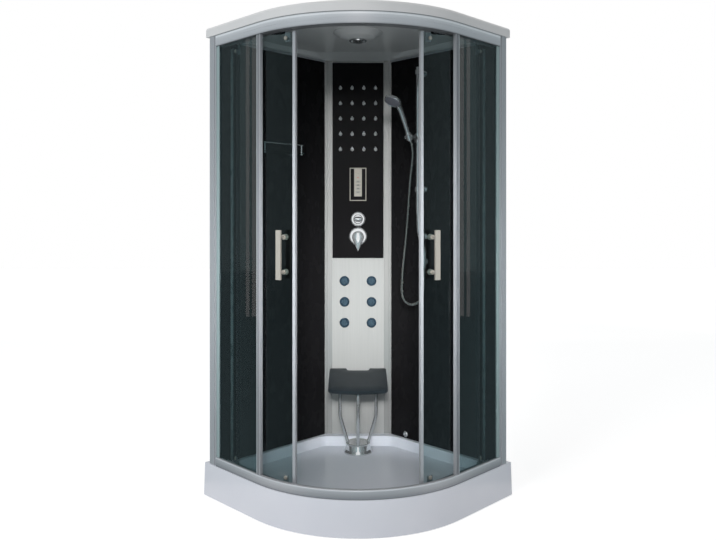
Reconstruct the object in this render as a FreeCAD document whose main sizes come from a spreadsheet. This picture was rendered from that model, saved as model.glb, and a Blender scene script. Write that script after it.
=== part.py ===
import FreeCAD, Part
import math
import os
import Sketcher
from FreeCAD import Placement, Rotation, Vector

# Quadrant steam shower cabin, in millimetres.
# World frame: X to the right seen from the room, +Y to the back, Z up.
# The origin lies on the floor under the middle of the cabin's bounding box.
# Along the two room walls the cabin frame is used: its origin is the tray's rear
# corner, local X runs along the right wall and local -Y along the left wall, so
# a distance from the right wall is -y and a distance from the left wall is x.

doc = FreeCAD.newDocument("steam_shower_cabin")

# ---------------------------------------------------------------- driving sizes

SIZES = [
    # tray
    ("tray_side", 1000, "length of each wall side of the tray"),
    ("tray_radius", 610, "radius of the curved front"),
    ("tray_height", 150, "floor of the room to the tray's rim"),
    ("tray_lift", 3, "gap under the skirt"),
    ("enclosure_height", 1948, "tray's rim to the top of the frame"),
    ("tray_draft", 6, "how much the skirt leans in over its height"),
    ("tray_wall", 6, "thickness of the skirt and the tub"),
    ("rim_width", 84, "flat front rim, outline to the water step"),
    ("ledge_height", 135, "height of the ledge that carries the wall panels"),
    ("ledge_width", 58, "width of the ledge along the walls"),
    ("wall_upstand", 8, "thickness of the upstand behind the wall panels"),
    ("basin_step", 8, "front rim step to the basin's edge"),
    ("basin_floor", 88, "height of the basin's floor"),
    ("basin_slope", 12, "how much the basin's walls lean in"),
    ("basin_corner", 60, "radius of the basin's corners"),
    ("basin_rear", 265, "rear corner to the basin's back edge, along the diagonal"),
    ("tread_rise", 3, "height of the raised standing area"),
    ("tread_rear", 470, "rear corner to the standing area's rear edge"),
    ("tread_rear_half", 150, "half the standing area's width at its rear edge"),
    ("tread_front", 880, "rear corner to the standing area's front edge"),
    ("tread_front_half", 330, "half the standing area's width at its front edge"),
    ("tread_corner", 30, "radius of the standing area's corners"),
    # frame and feet under the tray
    ("beam_size", 25, "square tube of the support frame"),
    ("beam_near", 150, "rear corner to the rear beams"),
    ("beam_clear", 65, "waste's trap to the middle beams"),
    ("beam_reach", 850, "rear corner to the ends of the long beams"),
    ("foot_radius", 25, "radius of a foot's pad"),
    ("foot_pad", 8, "thickness of a foot's pad"),
    ("foot_rod", 6, "radius of a foot's threaded rod"),
    # waste
    ("drain_forward", 960, "rear corner to the waste, along the diagonal"),
    ("drain_hole", 43, "radius of the waste hole"),
    ("drain_play", 1, "gap between the waste and its hole"),
    ("drain_flange", 56, "radius of the waste's flange and cover"),
    ("flange_height", 2, "thickness of the waste's flange"),
    ("cover_height", 5, "height of the waste's cover"),
    ("trap_radius", 54, "radius of the trap's body"),
    ("trap_bottom", 44, "height of the trap's underside"),
    ("outlet_radius", 20, "radius of the waste's outlet, which points down"),
    ("outlet_length", 40, "length of the waste's outlet"),
    ("outlet_wall", 3, "wall of the waste's outlet"),
    # walls
    ("wall_gap", 30, "tray side to the back of a wall panel"),
    ("wall_thickness", 6, "thickness of a wall panel"),
    ("wall_top", 2094, "height of a wall panel's top edge"),
    ("wall_end_gap", 2, "wall panel's notch to the tray's water step"),
    ("groove_play", 0.3, "play of a pane in its groove"),
    ("trim_lap", 6, "depth of the top trim over a wall panel"),
    ("trim_wall", 2, "thickness of the top trim's sides"),
    # column
    ("column_depth", 222, "rear corner to the column's face, along the diagonal"),
    ("column_width", 349, "width of the column"),
    ("column_sheet", 3, "thickness of the column's sheet"),
    ("column_return", 18, "depth of the column's folded sides"),
    ("glass_width", 268, "width of the black glass panel"),
    ("glass_margin", 13, "column's top to the black glass panel's upper edge"),
    ("glass_tail", 114, "middle of the mixer to the black glass panel's lower edge"),
    ("glass_sheet", 6, "thickness of the black glass panel"),
    ("bead_inset", 4, "column's edge to its raised bead"),
    ("edge_bead", 9, "width of the raised beads along the column's sides"),
    ("bead_height", 3, "height of the raised beads"),
    # waterfall
    ("nozzle_columns", 4, "waterfall nozzles in a row"),
    ("nozzle_rows", 5, "rows of waterfall nozzles"),
    ("nozzle_pitch_across", 61.5, "spacing of the nozzles in a row"),
    ("nozzle_pitch_down", 80.5, "spacing of the nozzle rows"),
    ("nozzle_drop", 133, "black glass panel's upper edge to the top row of nozzles"),
    ("nozzle_radius", 9, "radius of a nozzle's round end"),
    ("nozzle_point", 16, "middle of a nozzle to its upper point"),
    ("nozzle_height", 7, "how far a nozzle stands out"),
    ("nozzle_stem", 3.5, "half the width of a nozzle's square stem"),
    ("drop_sides", 6, "flat sides round the lower end of a nozzle"),
    ("drop_taper", 0.42, "size of a nozzle's crest, as a share of its foot"),
    ("distributor_depth", 18, "depth of the water distributor"),
    ("distributor_margin", 26, "distributor's edge beyond the outer nozzles"),
    # body jets
    ("jet_across", 71, "middle of the column to a jet"),
    ("jet_drop", 121, "black glass panel's lower edge to the top pair of jets"),
    ("jet_pitch", 110, "spacing of the pairs of jets"),
    ("jet_rows", 3, "pairs of jets"),
    ("jet_radius", 26, "radius of a jet's rim"),
    ("jet_height", 11, "how far a jet stands out"),
    ("jet_insert", 15, "radius of a jet's rubber insert"),
    ("jet_tail", 9, "radius of a jet's tail through the column"),
    # controls
    ("control_drop", 96.5, "lowest row of nozzles to the control panel's outline"),
    ("control_width", 87, "width of the control panel's outline"),
    ("control_height", 173, "height of the control panel's outline"),
    ("bezel_width", 4, "width of the outline's frame"),
    ("bezel_height", 3, "how far the outline stands out"),
    ("keypad_width", 40, "width of the keypad strip"),
    ("keypad_height", 145, "height of the keypad strip"),
    ("keypad_rise", 3, "how far the keypad strip stands out"),
    ("keypad_drop", 1, "top of the outline's inside to the keypad strip"),
    ("button_width", 24, "width of a button"),
    ("button_height", 11, "height of a button"),
    ("button_pitch", 18.4, "spacing of the buttons"),
    ("button_count", 4, "number of buttons"),
    ("button_drop", 72.5, "top of the control panel's outline to the top button"),
    ("button_shaft", 20, "width of the opening behind the buttons"),
    ("lamp_drop", 51.5, "top of the control panel's outline to the signal lamp"),
    ("lamp_radius", 2.5, "radius of the signal lamp"),
    ("lamp_rise", 1.5, "how far the signal lamp stands out of the keypad"),
    ("unit_width", 90, "width of the control unit's case"),
    ("unit_depth", 24, "depth of the control unit's case"),
    ("button_rise", 1.2, "how far a button stands out"),
    ("button_body", 3.5, "thickness of a button"),
    ("button_play", 0.3, "gap round a button"),
    # diverter and mixer
    ("diverter_drop", 96.5, "foot of the control panel's outline to the diverter's middle"),
    ("diverter_plate", 38, "radius of the diverter's plate"),
    ("plate_rise", 6, "how far the valve plates stand out"),
    ("diverter_knob", 25, "radius of the diverter's knob"),
    ("knob_rise", 20, "how far the knob stands out of its plate"),
    ("grip_length", 36, "length of the knob's grip"),
    ("grip_width", 13, "width of the knob's grip"),
    ("mixer_drop", 90, "middle of the diverter to the mixer's middle below it"),
    ("mixer_plate", 46.5, "radius of the mixer's plate"),
    ("mixer_cap", 24, "radius of the mixer's turning cap"),
    ("cap_rise", 24, "how far the cap stands out of its plate"),
    ("lever_top", 25, "middle of the mixer to the lever's upper edge"),
    ("lever_length", 78, "middle of the mixer to the lever's tip"),
    ("lever_width", 62, "width of the lever"),
    ("lever_thickness", 9, "thickness of the lever"),
    ("lever_lift", 22, "lift of the lever, degrees"),
    ("lever_neck", 5, "radius of the lever's neck"),
    ("lever_pin", 3, "radius of the lever's pivot pin"),
    ("cartridge_radius", 17, "radius of a valve cartridge"),
    ("stem_radius", 6, "radius of a valve stem"),
    ("bearing_play", 0.05, "radial play of a turning fit"),
    ("face_gap", 0.3, "gap between faces that move past each other"),
    # valve block and inlets behind the column
    ("block_width", 56, "width of the valve block"),
    ("block_depth", 46, "depth of the valve block"),
    ("block_margin", 34, "valve block's reach beyond its cartridges"),
    ("block_gap", 25, "column's sheet to the valve block"),
    ("inlet_radius", 10.48, "radius of a half-inch inlet thread"),
    ("inlet_length", 16, "length of an inlet's thread"),
    ("inlet_spacing", 30, "middle to middle of the two inlets"),
    ("pipe_radius", 6, "radius of the water pipes"),
    ("pipe_bend", 26, "bend radius of the water pipes"),
    ("feed_start", 70, "water distributor to where its pipe leaves the lane"),
    ("feed_end", 30, "water distributor to where its pipe is upright again"),
    ("manifold_start", 70, "jets' manifold to where its pipe leaves the lane"),
    ("manifold_end", 35, "jets' manifold to where its pipe is upright again"),
    # steam
    ("steam_box_width", 170, "width of the steam generator"),
    ("steam_box_depth", 76, "depth of the steam generator"),
    ("steam_box_height", 260, "height of the steam generator"),
    ("steam_box_bottom", 300, "height of the steam generator's underside"),
    ("steam_box_gap", 42, "column's sheet to the steam generator"),
    ("steam_along", 384, "rear corner to the steam outlet, along the wall"),
    ("steam_height", 156, "height of the steam outlet"),
    ("steam_radius", 15, "radius of the steam outlet's rosette"),
    ("steam_pipe", 8, "radius of the steam pipe"),
    # riser rail and hand shower, on the right wall
    ("riser_along", 513.5, "rear corner to the riser rail, along the wall"),
    ("riser_standoff", 55, "wall to the riser rail's axis"),
    ("riser_radius", 10, "radius of the riser rail"),
    ("riser_top", 2022, "height of the riser rail's upper end"),
    ("riser_bottom", 1063, "height of the riser rail's lower end"),
    ("riser_bend_high", 267, "riser rail's lower end to where it starts to lean"),
    ("riser_bend_middle", 137, "riser rail's lower end to the middle of the lean"),
    ("riser_bend_low", 37, "riser rail's lower end to where it is upright again"),
    ("riser_lean", 8, "lean to the wall at the middle bend"),
    ("bracket_high", 1995, "height of the upper bracket"),
    ("bracket_middle", 1414, "height of the middle bracket"),
    ("bracket_low", 115, "riser rail's lower end to its lowest arm"),
    ("bracket_radius", 15, "radius of a bracket's collar"),
    ("bracket_length", 24, "length of a bracket's collar"),
    ("bracket_arm", 8, "radius of a bracket's arm"),
    ("rosette_radius", 15, "radius of a wall rosette"),
    ("rosette_depth", 6, "depth of a wall rosette"),
    ("pivot_radius", 4, "radius of the holder's pivot pins"),
    ("fork_half", 24, "half the width of the slider's fork"),
    ("fork_clear", 24, "holder's pivot to the root of the slider's fork"),
    ("cheek_half", 8, "half the height of the fork's cheeks"),
    ("slider_height", 1668, "height of the slider"),
    ("slider_radius", 17, "radius of the slider"),
    ("slider_length", 44, "length of the slider"),
    ("holder_reach", 66, "riser rail's axis to the holder's middle"),
    ("holder_radius", 17, "radius of the holder's ring"),
    ("holder_height", 26, "height of the holder's ring"),
    ("holder_tilt", 27, "lean of the hand shower's handle, degrees"),
    ("nut_top", 12.5, "upper radius of the hose's conical nut"),
    ("nut_bottom", 9.5, "lower radius of the hose's conical nut"),
    ("nut_length", 40, "length of the hose's conical nut"),
    ("handle_length", 118, "length of the hand shower's handle"),
    ("handle_radius", 11, "radius of the hand shower's handle"),
    ("head_radius", 42, "radius of the hand shower's head"),
    ("head_depth", 20, "depth of the hand shower's head"),
    ("head_reach", 60, "end of the handle to the head's middle, outwards"),
    ("head_raise", 36, "end of the handle to the head's middle, upwards"),
    ("head_face", 30, "turn of the spray face from straight down, degrees"),
    ("hose_radius", 7, "radius of the hose"),
    ("hose_lead", 42, "straight start of the hose under the nut"),
    ("hose_tail", 75, "straight end of the hose under its outlet"),
    ("outlet_along", 520, "rear corner to the hose outlet, along the wall"),
    ("outlet_standoff", 16, "wall to the hose's upright end"),
    ("outlet_nut", 18, "length of the nut under the hose outlet"),
    ("outlet_body", 13, "radius of the hose outlet's body"),
    ("outlet_height", 22, "height of the hose outlet's body"),
    ("service_gap", 12, "tray side to the pipes behind a wall panel"),
    # shelf, on the left wall
    ("shelf_near", 507, "rear corner to the shelf's near clamp, along the wall"),
    ("shelf_far", 743, "rear corner to the shelf's far clamp, along the wall"),
    ("shelf_height", 1590, "height of the middle of the shelf's glass"),
    ("shelf_depth", 78, "depth of the shelf's glass"),
    ("shelf_glass", 6, "thickness of the shelf's glass"),
    ("shelf_overhang", 22, "shelf's glass beyond its clamps"),
    ("shelf_gap", 2, "wall to the back edge of the shelf's glass"),
    ("clamp_half", 9, "half the width and height of a shelf clamp"),
    ("clamp_reach", 24, "depth of a shelf clamp"),
    ("shelf_post_near", 497, "rear corner to the shelf rail's near post"),
    ("shelf_post_far", 725, "rear corner to the shelf rail's far post"),
    ("shelf_post", 4, "radius of the shelf rail's posts"),
    ("shelf_post_depth", 62, "wall to the shelf rail's posts"),
    ("shelf_rail_rise", 40, "shelf's glass to the thin rail's axis"),
    ("shelf_rail", 3, "radius of the shelf's thin rail"),
    # posts and rails
    ("post_side", 28, "tray side to a wall post"),
    ("post_front", 12, "tray front to a wall post"),
    ("post_width", 36, "width of a wall post, along the front"),
    ("post_depth", 38, "depth of a wall post"),
    ("clamp_width", 14, "width of the pane clamp beside a post"),
    ("pane_inset", 22, "tray front to the middle of a fixed pane"),
    ("pane_thickness", 5, "thickness of the fixed panes and the doors"),
    ("pane_seat", 16, "depth of a fixed pane in its rail"),
    ("rail_front", 11, "tray front to the rails' outer face"),
    ("rail_outer", 17, "depth of the rails' outer box"),
    ("bottom_rail_height", 39, "height of the bottom rail"),
    ("bottom_rail_floor", 6, "thickness of the bottom rail's track"),
    ("bottom_rail_depth", 70, "depth of the bottom rail"),
    ("bottom_rail_lip", 14, "height of the bottom rail's inner lip"),
    ("top_rail_height", 50, "height of the top rail"),
    ("top_rail_depth", 72, "depth of the top rail"),
    ("top_rail_shelf", 45, "outer face to the edge of the upper track"),
    ("rail_sheet", 3, "wall thickness of the rails"),
    ("strip_width", 26, "width of a fixed pane's edge strip"),
    ("strip_depth", 13, "depth of a fixed pane's edge strip"),
    ("strip_start", 376, "tray side to a fixed pane's edge strip"),
    ("pane_end", 390, "tray side to the end of a fixed pane"),
    ("strip_groove", 8, "width of the groove in the edge strip"),
    ("strip_groove_depth", 2.5, "depth of the groove in the edge strip"),
    ("cover_drop", 23, "height of the top rail's inner cover"),
    ("rail_round", 6, "radius of the bottom rail's upper outer edge"),
    # doors
    ("door_inset", 52, "tray front to the middle of a door pane"),
    ("door_angle", 46.5, "angle that a door spans, degrees"),
    ("door_open", 21.5, "turn of an open door from closed, degrees"),
    ("pole_across", 39.4, "middle of the cabin to a door's pole, to the far side"),
    ("pole_forward", 408, "rear corner to a door's pole, along the diagonal"),
    ("door_bottom", 172, "height of a door's lower edge"),
    ("door_top", 2040, "height of a door's upper edge"),
    ("door_meet", 0.3, "half the gap between the closed doors"),
    ("edge_width", 13, "width of a door's leading edge strip"),
    ("edge_depth", 16, "depth of a door's edge strips"),
    ("handle_at", 6, "angle from the leading edge to the handle, degrees"),
    ("handle_middle", 1120, "height of the handle's middle"),
    ("bar_height", 204, "length of the handle's bar"),
    ("bar_width", 23, "width of the handle's bar"),
    ("bar_thickness", 9, "thickness of the handle's bar"),
    ("bar_standoff", 38, "door pane to the middle of the handle's bar"),
    ("handle_spacing", 146, "spacing of the handle's posts"),
    ("handle_post", 6, "radius of the handle's posts"),
    ("knob_radius", 12.5, "radius of the handle's inner knobs"),
    ("knob_depth", 18, "depth of the handle's inner knobs"),
    ("front_roller", 5, "angle from the leading edge to the front rollers, degrees"),
    ("rear_roller", 41, "angle from the leading edge to the rear rollers, degrees"),
    ("upper_wheel", 11, "radius of the upper wheels"),
    ("lower_wheel", 12, "radius of the lower wheels"),
    ("wheel_width", 8, "width of a wheel"),
    ("wheel_bore", 3, "radius of a wheel's bore"),
    ("axle_shoulder", 5, "radius of the roller axles' shoulders and heads"),
    ("roller_gap", 0.5, "roller plate to its wheel"),
    ("plate_seat", 0.2, "curved pane to the flat roller plates on it"),
    ("lower_plate_top", 205, "height of a lower roller plate's top"),
    ("lower_bolt", 196, "height of a lower roller plate's bolt"),
    ("upper_plate_bottom", 2005, "height of an upper roller plate's bottom"),
    ("upper_bolt", 2018, "height of an upper roller plate's bolt"),
    ("upper_plate_top", 2074, "height of an upper roller plate's top"),
    ("upper_wheel_out", 7, "middle of the door pane to the upper wheels' outer side"),
    ("bolt_radius", 8, "radius of the spacer between pane and upper hanger"),
    ("strip_over", 2, "leading strip's reach beyond the pane's lower and upper edge"),
    ("seal_width", 12, "width of a door's trailing seal"),
    ("seal_side", 2, "thickness of the trailing seal's sides"),
    ("seal_fin", 5, "how far the trailing seal's fin stands out"),
    ("hanger_gap", 12.5, "door pane to an upper hanger's plate"),
    ("hanger_sheet", 3, "thickness of the roller plates"),
    ("hanger_width", 26, "width of the roller plates"),
    ("cap_radius", 9, "radius of the roller bolts' caps"),
    ("cap_height", 3, "height of the roller bolts' caps"),
    # roof
    ("roof_inset", 7, "tray outline to the roof's outline"),
    ("roof_height", 42, "height of the roof's rim"),
    ("roof_round", 9, "radius of the rim's upper edge"),
    ("roof_sheet", 4, "thickness of the ceiling"),
    ("roof_rim", 16, "width of the rim's top"),
    ("ceiling_rise", 18, "top of the frame to the ceiling"),
    ("roof_bearing", 90, "width of the roof's flat bearing over the rails"),
    ("roof_bearing_wall", 60, "width of the roof's flat bearing over the walls"),
    ("roof_slope", 26, "plan width of the slope up to the ceiling"),
    ("roof_bearing_rear", 238, "rear corner to the front of the roof's bearing"),
    ("ceiling_corner", 60, "radius of the ceiling's corners"),
    ("ceiling_rear", 340, "rear corner to the ceiling's flat, along the diagonal"),
    ("dome_forward", 730, "rear corner to the ceiling dome, along the diagonal"),
    ("dome_radius", 112, "radius of the ceiling dome"),
    ("dome_drop", 34, "how far the ceiling dome hangs down"),
    ("dome_mouth", 36, "radius of the ceiling dome's mouth"),
    ("dome_sheet", 3, "thickness of the ceiling dome"),
    ("rain_radius", 40, "radius of the rain head"),
    ("rain_height", 8, "height of the rain head"),
    ("rain_stem", 9, "radius of the rain head's stem"),
    ("fitting_across", 372, "middle of the cabin to a ceiling fitting"),
    ("fitting_forward", 775, "rear corner to a ceiling fitting, along the diagonal"),
    ("fitting_radius", 58, "radius of a ceiling fitting's rim"),
    ("fitting_drop", 9, "how far a ceiling fitting's rim hangs down"),
    ("fitting_height", 20, "height of a ceiling fitting's body above the ceiling"),
    ("grille_radius", 34, "radius of a ceiling fitting's bright middle"),
    ("axle_radius", 3, "radius of the fan's axle"),
    ("fitting_throat", 46, "radius of a ceiling fitting's body"),
    ("impeller_radius", 40, "radius of the fan's impeller"),
    ("impeller_hub", 13, "radius of the fan's hub"),
    ("impeller_blades", 7, "number of the fan's blades"),
    ("impeller_depth", 9, "depth of the fan's blades"),
    # stool
    ("stool_forward", 366, "rear corner to the stool's middle, along the diagonal"),
    ("seat_width", 294, "width of the seat"),
    ("seat_length", 280, "length of the seat along its slope"),
    ("seat_thickness", 20, "thickness of the seat"),
    ("seat_height", 457, "height of the middle of the seat's top"),
    ("seat_tilt", 11.5, "slope of the seat, degrees"),
    ("seat_forward", 12, "stool's middle to the seat's middle"),
    ("seat_bow", 16, "how far the seat's front edge bows out"),
    ("seat_front_radius", 600, "radius of the middle of the seat's front edge"),
    ("seat_corner", 26, "radius of the seat's front corners"),
    ("notch_width", 115, "width of the notch in the seat's rear edge"),
    ("notch_depth", 26, "depth of the notch in the seat's rear edge"),
    ("leg_radius", 8, "radius of the stool's legs"),
    ("leg_spread", 91, "stool's middle to the upright stretch of a leg"),
    ("leg_foot", 50, "stool's middle to the lower end of a leg"),
    ("leg_knee", 271, "height of a leg's bend"),
    ("leg_end", 138, "height of a leg's lower end"),
    ("leg_bend", 150, "radius of a leg's bend"),
    ("base_radius", 72.5, "radius of the stool's base"),
    ("base_neck", 58, "radius of the stool base's collar"),
    ("base_height", 50, "height of the stool's base"),
]

sheet = doc.addObject("Spreadsheet::Sheet", "Sizes")
for row, (alias, value, meaning) in enumerate(SIZES, start=1):
    sheet.set(f"A{row}", meaning)
    sheet.set(f"B{row}", str(value))
    sheet.setAlias(f"B{row}", alias)
doc.recompute()


class SheetReader:
    """Reads a driving size by its alias, as in size.tray_side."""

    def __getattr__(self, alias):
        return float(sheet.get(alias))


size = SheetReader()

# ------------------------------------------------------------- derived places

ROOT2 = math.sqrt(2)
X_AXIS = Vector(1, 0, 0)
Y_AXIS = Vector(0, 1, 0)
Z_AXIS = Vector(0, 0, 1)

arc_middle = size.tray_side - size.tray_radius
cabin_depth = arc_middle * ROOT2 + size.tray_radius
corner_y = cabin_depth / 2
arc_middle_y = corner_y - arc_middle * ROOT2
wall_face = size.wall_gap + size.wall_thickness
frame_top = size.tray_height + size.enclosure_height
roof_top = frame_top + size.roof_height
ceiling_height = frame_top + size.ceiling_rise
rail_start = size.post_side + size.post_width + size.clamp_width
column_y = corner_y - size.column_depth
glass_y = column_y - size.glass_sheet
door_radius = size.tray_radius - size.door_inset

outlet_middle = size.riser_bottom - size.outlet_height / 2
hose_end_height = size.riser_bottom - size.outlet_height - size.outlet_nut
glass_top = frame_top - size.glass_margin
nozzle_first = glass_top - size.nozzle_drop
nozzle_last = nozzle_first - (size.nozzle_rows - 1) * size.nozzle_pitch_down
control_top = nozzle_last - size.control_drop
control_middle = control_top - size.control_height / 2
button_top = control_top - size.button_drop
lamp_height = control_top - size.lamp_drop
diverter_height = control_top - size.control_height - size.diverter_drop
mixer_height = diverter_height - size.mixer_drop
glass_bottom = mixer_height - size.glass_tail
jet_first = glass_bottom - size.jet_drop
valve_middle = (mixer_height + diverter_height) / 2
pipe_level = ceiling_height + size.roof_sheet + size.pipe_radius + 4

cabin_frame = Placement(Vector(0, corner_y, 0), Rotation(Z_AXIS, -45))


def column_spot(across, height, standoff=0.0):
    """A frame on the column: x to the right, y up, z towards the user."""
    place = Vector(across, column_y - standoff, height)
    return Placement(place, Rotation(X_AXIS, 90))


def wall_spot(along, height, standoff=0.0):
    """A frame on the right wall's face: x along the wall, y up, z into the cabin."""
    local = Placement(Vector(along, -wall_face - standoff, height), Rotation(X_AXIS, 90))
    return cabin_frame.multiply(local)


def floor_spot(across, forward, height):
    """An upright frame, placed along the cabin's diagonal from the rear corner."""
    return Placement(Vector(across, corner_y - forward, height), Rotation())


def ceiling_spot(across, forward, height):
    """A frame that looks down: z towards the floor."""
    return Placement(Vector(across, corner_y - forward, height), Rotation(X_AXIS, 180))


def door_spot(angle, height, radius):
    """A frame on the right door's circle: x along the door, y up, z outwards."""
    turn = math.radians(angle)
    place = Vector(radius * math.sin(turn), arc_middle_y - radius * math.cos(turn), height)
    upright = Rotation(Z_AXIS, angle).multiply(Rotation(X_AXIS, 90))
    return Placement(place, upright)


# --------------------------------------------------------------- drawing tools

nodes = []


def keep(shape_object):
    """Marks an object of the document as a sub-part that is written to a file."""
    nodes.append(shape_object)
    return shape_object


def bind(target, **expressions):
    """Ties properties of a feature to expressions of the sheet's aliases."""
    for name, expression in expressions.items():
        target.setExpression(name, expression)


def new_body(label, placement=None):
    """An empty body with its own label."""
    body = doc.addObject("PartDesign::Body", label)
    body.Label = label
    if placement is not None:
        body.Placement = placement
    return body


def new_sketch(body, role="XY_Plane", height=None):
    """A sketch on one of the body's own origin planes, lifted by an expression."""
    sketch = body.newObject("Sketcher::SketchObject", body.Label + "_sketch")
    plane = [item for item in body.Origin.OriginFeatures if item.Role == role][0]
    sketch.AttachmentSupport = (plane, [""])
    sketch.MapMode = "FlatFace"
    if height is not None:
        sketch.setExpression(".AttachmentOffset.Base.z", str(height))
    return sketch


def corner_arc(before, corner, after, radius):
    """Start, middle and end of the arc that rounds a corner, and its centre."""
    incoming = (before - corner).normalize()
    outgoing = (after - corner).normalize()
    half = incoming.getAngle(outgoing) / 2
    reach = radius / math.tan(half)
    middle_line = (incoming + outgoing).normalize()
    centre = corner + middle_line * (radius / math.sin(half))
    start = corner + incoming * reach
    end = corner + outgoing * reach
    middle = centre - middle_line * radius
    return start, middle, end


def outline(points):
    """Edges of a closed outline whose corners are (x, y) or (x, y, radius)."""
    corners = [Vector(point[0], point[1], 0) for point in points]
    radii = [point[2] if len(point) > 2 else 0 for point in points]
    count = len(corners)
    ends = []
    edges = []
    for index, corner in enumerate(corners):
        before = corners[index - 1]
        after = corners[(index + 1) % count]
        if radii[index] > 0:
            start, middle, end = corner_arc(before, corner, after, radii[index])
            edges.append((start, middle, end))
        else:
            start = end = corner
            edges.append(None)
        ends.append((start, end))
    geometry = []
    for index in range(count):
        if edges[index] is not None:
            geometry.append(Part.Arc(*edges[index]))
        leave = ends[index][1]
        arrive = ends[(index + 1) % count][0]
        if leave.distanceToPoint(arrive) > 1e-6:
            geometry.append(Part.LineSegment(leave, arrive))
    return geometry


def open_path(points):
    """Edges of an open route with rounded corners, from its first to its last point."""
    corners = [Vector(point[0], point[1], point[2]) for point in points]
    radii = [point[3] if len(point) > 3 else 0 for point in points]
    geometry = []
    position = corners[0]
    for index in range(1, len(corners) - 1):
        if radii[index] > 0:
            start, middle, end = corner_arc(
                corners[index - 1], corners[index], corners[index + 1], radii[index])
            if position.distanceToPoint(start) > 1e-6:
                geometry.append(Part.LineSegment(position, start))
            geometry.append(Part.Arc(start, middle, end))
            position = end
        else:
            geometry.append(Part.LineSegment(position, corners[index]))
            position = corners[index]
    geometry.append(Part.LineSegment(position, corners[-1]))
    return geometry


def draw(sketch, geometry):
    """Adds edges to a sketch."""
    for edge in geometry:
        sketch.addGeometry(edge)


def draw_circle(sketch, x, y, radius):
    """Adds a circle whose radius is an expression of the sheet."""
    index = sketch.addGeometry(Part.Circle(Vector(x, y, 0), Z_AXIS, 5.0))
    constraint = sketch.addConstraint(Sketcher.Constraint("Radius", index, 5.0))
    name = f"radius_{index}"
    sketch.renameConstraint(constraint, name)
    sketch.setExpression(f"Constraints.{name}", str(radius))
    sketch.addConstraint(Sketcher.Constraint("DistanceX", index, 3, x))
    sketch.addConstraint(Sketcher.Constraint("DistanceY", index, 3, y))


def rectangle(low_x, low_y, high_x, high_y, radius=0):
    """Corners of an upright rectangle, rounded where a radius is given."""
    return [(low_x, low_y, radius), (high_x, low_y, radius),
            (high_x, high_y, radius), (low_x, high_y, radius)]


def pad(body, sketch, length, reverse=False):
    """Pads a sketch by an expression of the sheet."""
    feature = body.newObject("PartDesign::Pad", body.Label + "_pad")
    feature.Profile = sketch
    feature.Reversed = reverse
    bind(feature, Length=str(length))
    return feature


def pocket(body, sketch, length, reverse=False):
    """Cuts a sketch into the body, and checks that it cut something."""
    doc.recompute()
    before = body.Shape.Volume
    feature = body.newObject("PartDesign::Pocket", body.Label + "_pocket")
    feature.Profile = sketch
    feature.Reversed = reverse
    bind(feature, Length=str(length))
    doc.recompute()
    if body.Shape.Volume > before - 1e-3:
        raise RuntimeError("a pocket of " + body.Label + " cuts nothing")
    return feature


def loft(body, first, second, cut=False):
    """A straight loft between two sketches, added or cut away."""
    kind = "PartDesign::SubtractiveLoft" if cut else "PartDesign::AdditiveLoft"
    feature = body.newObject(kind, body.Label + "_loft")
    feature.Profile = first
    feature.Sections = [second]
    feature.Ruled = True
    return feature


def eased(profile, largest=6):
    """A profile whose small roundings are drawn as flat chamfers."""
    points = []
    for index, point in enumerate(profile):
        radius = point[2] if len(point) > 2 else 0
        if radius == 0 or radius > largest:
            points.append(point)
            continue
        before, after = profile[index - 1], profile[(index + 1) % len(profile)]
        for other in (before, after):
            away = Vector(other[0] - point[0], other[1] - point[1], 0).normalize()
            points.append((point[0] + away.x * radius / 2, point[1] + away.y * radius / 2))
    return points


def turned(label, profile, placement=None):
    """A turned piece: its (radius, height) profile spun about the local Z axis."""
    body = new_body(label, placement)
    sketch = new_sketch(body, "XZ_Plane")
    draw(sketch, outline(eased(profile)))
    feature = body.newObject("PartDesign::Revolution", label + "_turn")
    feature.Profile = sketch
    feature.ReferenceAxis = (sketch, ["V_Axis"])
    feature.Angle = 360
    return body


def plate(label, points, thickness, placement=None, height=None):
    """A flat piece with the given outline, padded by an expression."""
    body = new_body(label, placement)
    sketch = new_sketch(body, "XY_Plane", height)
    draw(sketch, outline(points))
    pad(body, sketch, thickness)
    return body


def box(label, low, high, placement=None):
    """A plain block between two corners of a frame."""
    block = doc.addObject("Part::Box", label)
    block.Label = label
    block.Length = high[0] - low[0]
    block.Width = high[1] - low[1]
    block.Height = high[2] - low[2]
    frame = placement if placement is not None else Placement()
    block.Placement = frame.multiply(Placement(Vector(*low), Rotation()))
    return block


def rod(label, start, end, radius, frame=None):
    """A round rod from one point to another, its radius an expression."""
    frame = frame if frame is not None else Placement()
    first = frame.multVec(Vector(*start))
    last = frame.multVec(Vector(*end))
    cylinder = doc.addObject("Part::Cylinder", label)
    cylinder.Label = label
    cylinder.Height = first.distanceToPoint(last)
    cylinder.Placement = Placement(first, Rotation(Z_AXIS, last - first))
    bind(cylinder, Radius=str(radius))
    return cylinder


def pipe(label, points, radius, frame=None):
    """A round pipe along a route with rounded corners."""
    path = doc.addObject("Part::Feature", label)
    path.Label = label
    edges = [edge.toShape() for edge in open_path(points)]
    wire = Part.Wire(edges)
    start = Vector(*points[0][:3])
    heading = Vector(*points[1][:3]) - start
    circle = Part.Wire([Part.Circle(start, heading, radius).toShape()])
    path.Shape = wire.makePipeShell([circle], True, True)
    if frame is not None:
        path.Placement = frame
    return path


def fuse(label, pieces):
    """One solid made of several overlapping ones."""
    joined = doc.addObject("Part::MultiFuse", label)
    joined.Label = label
    joined.Shapes = pieces
    joined.Refine = True
    return joined


def cut(label, base, tool):
    """One piece with another cut away from it."""
    result = doc.addObject("Part::Cut", label)
    result.Label = label
    result.Base = base
    result.Tool = tool
    return result


def group(label, pieces):
    """Separate solids that share one node."""
    together = doc.addObject("Part::Compound", label)
    together.Label = label
    together.Links = pieces
    return together


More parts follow.
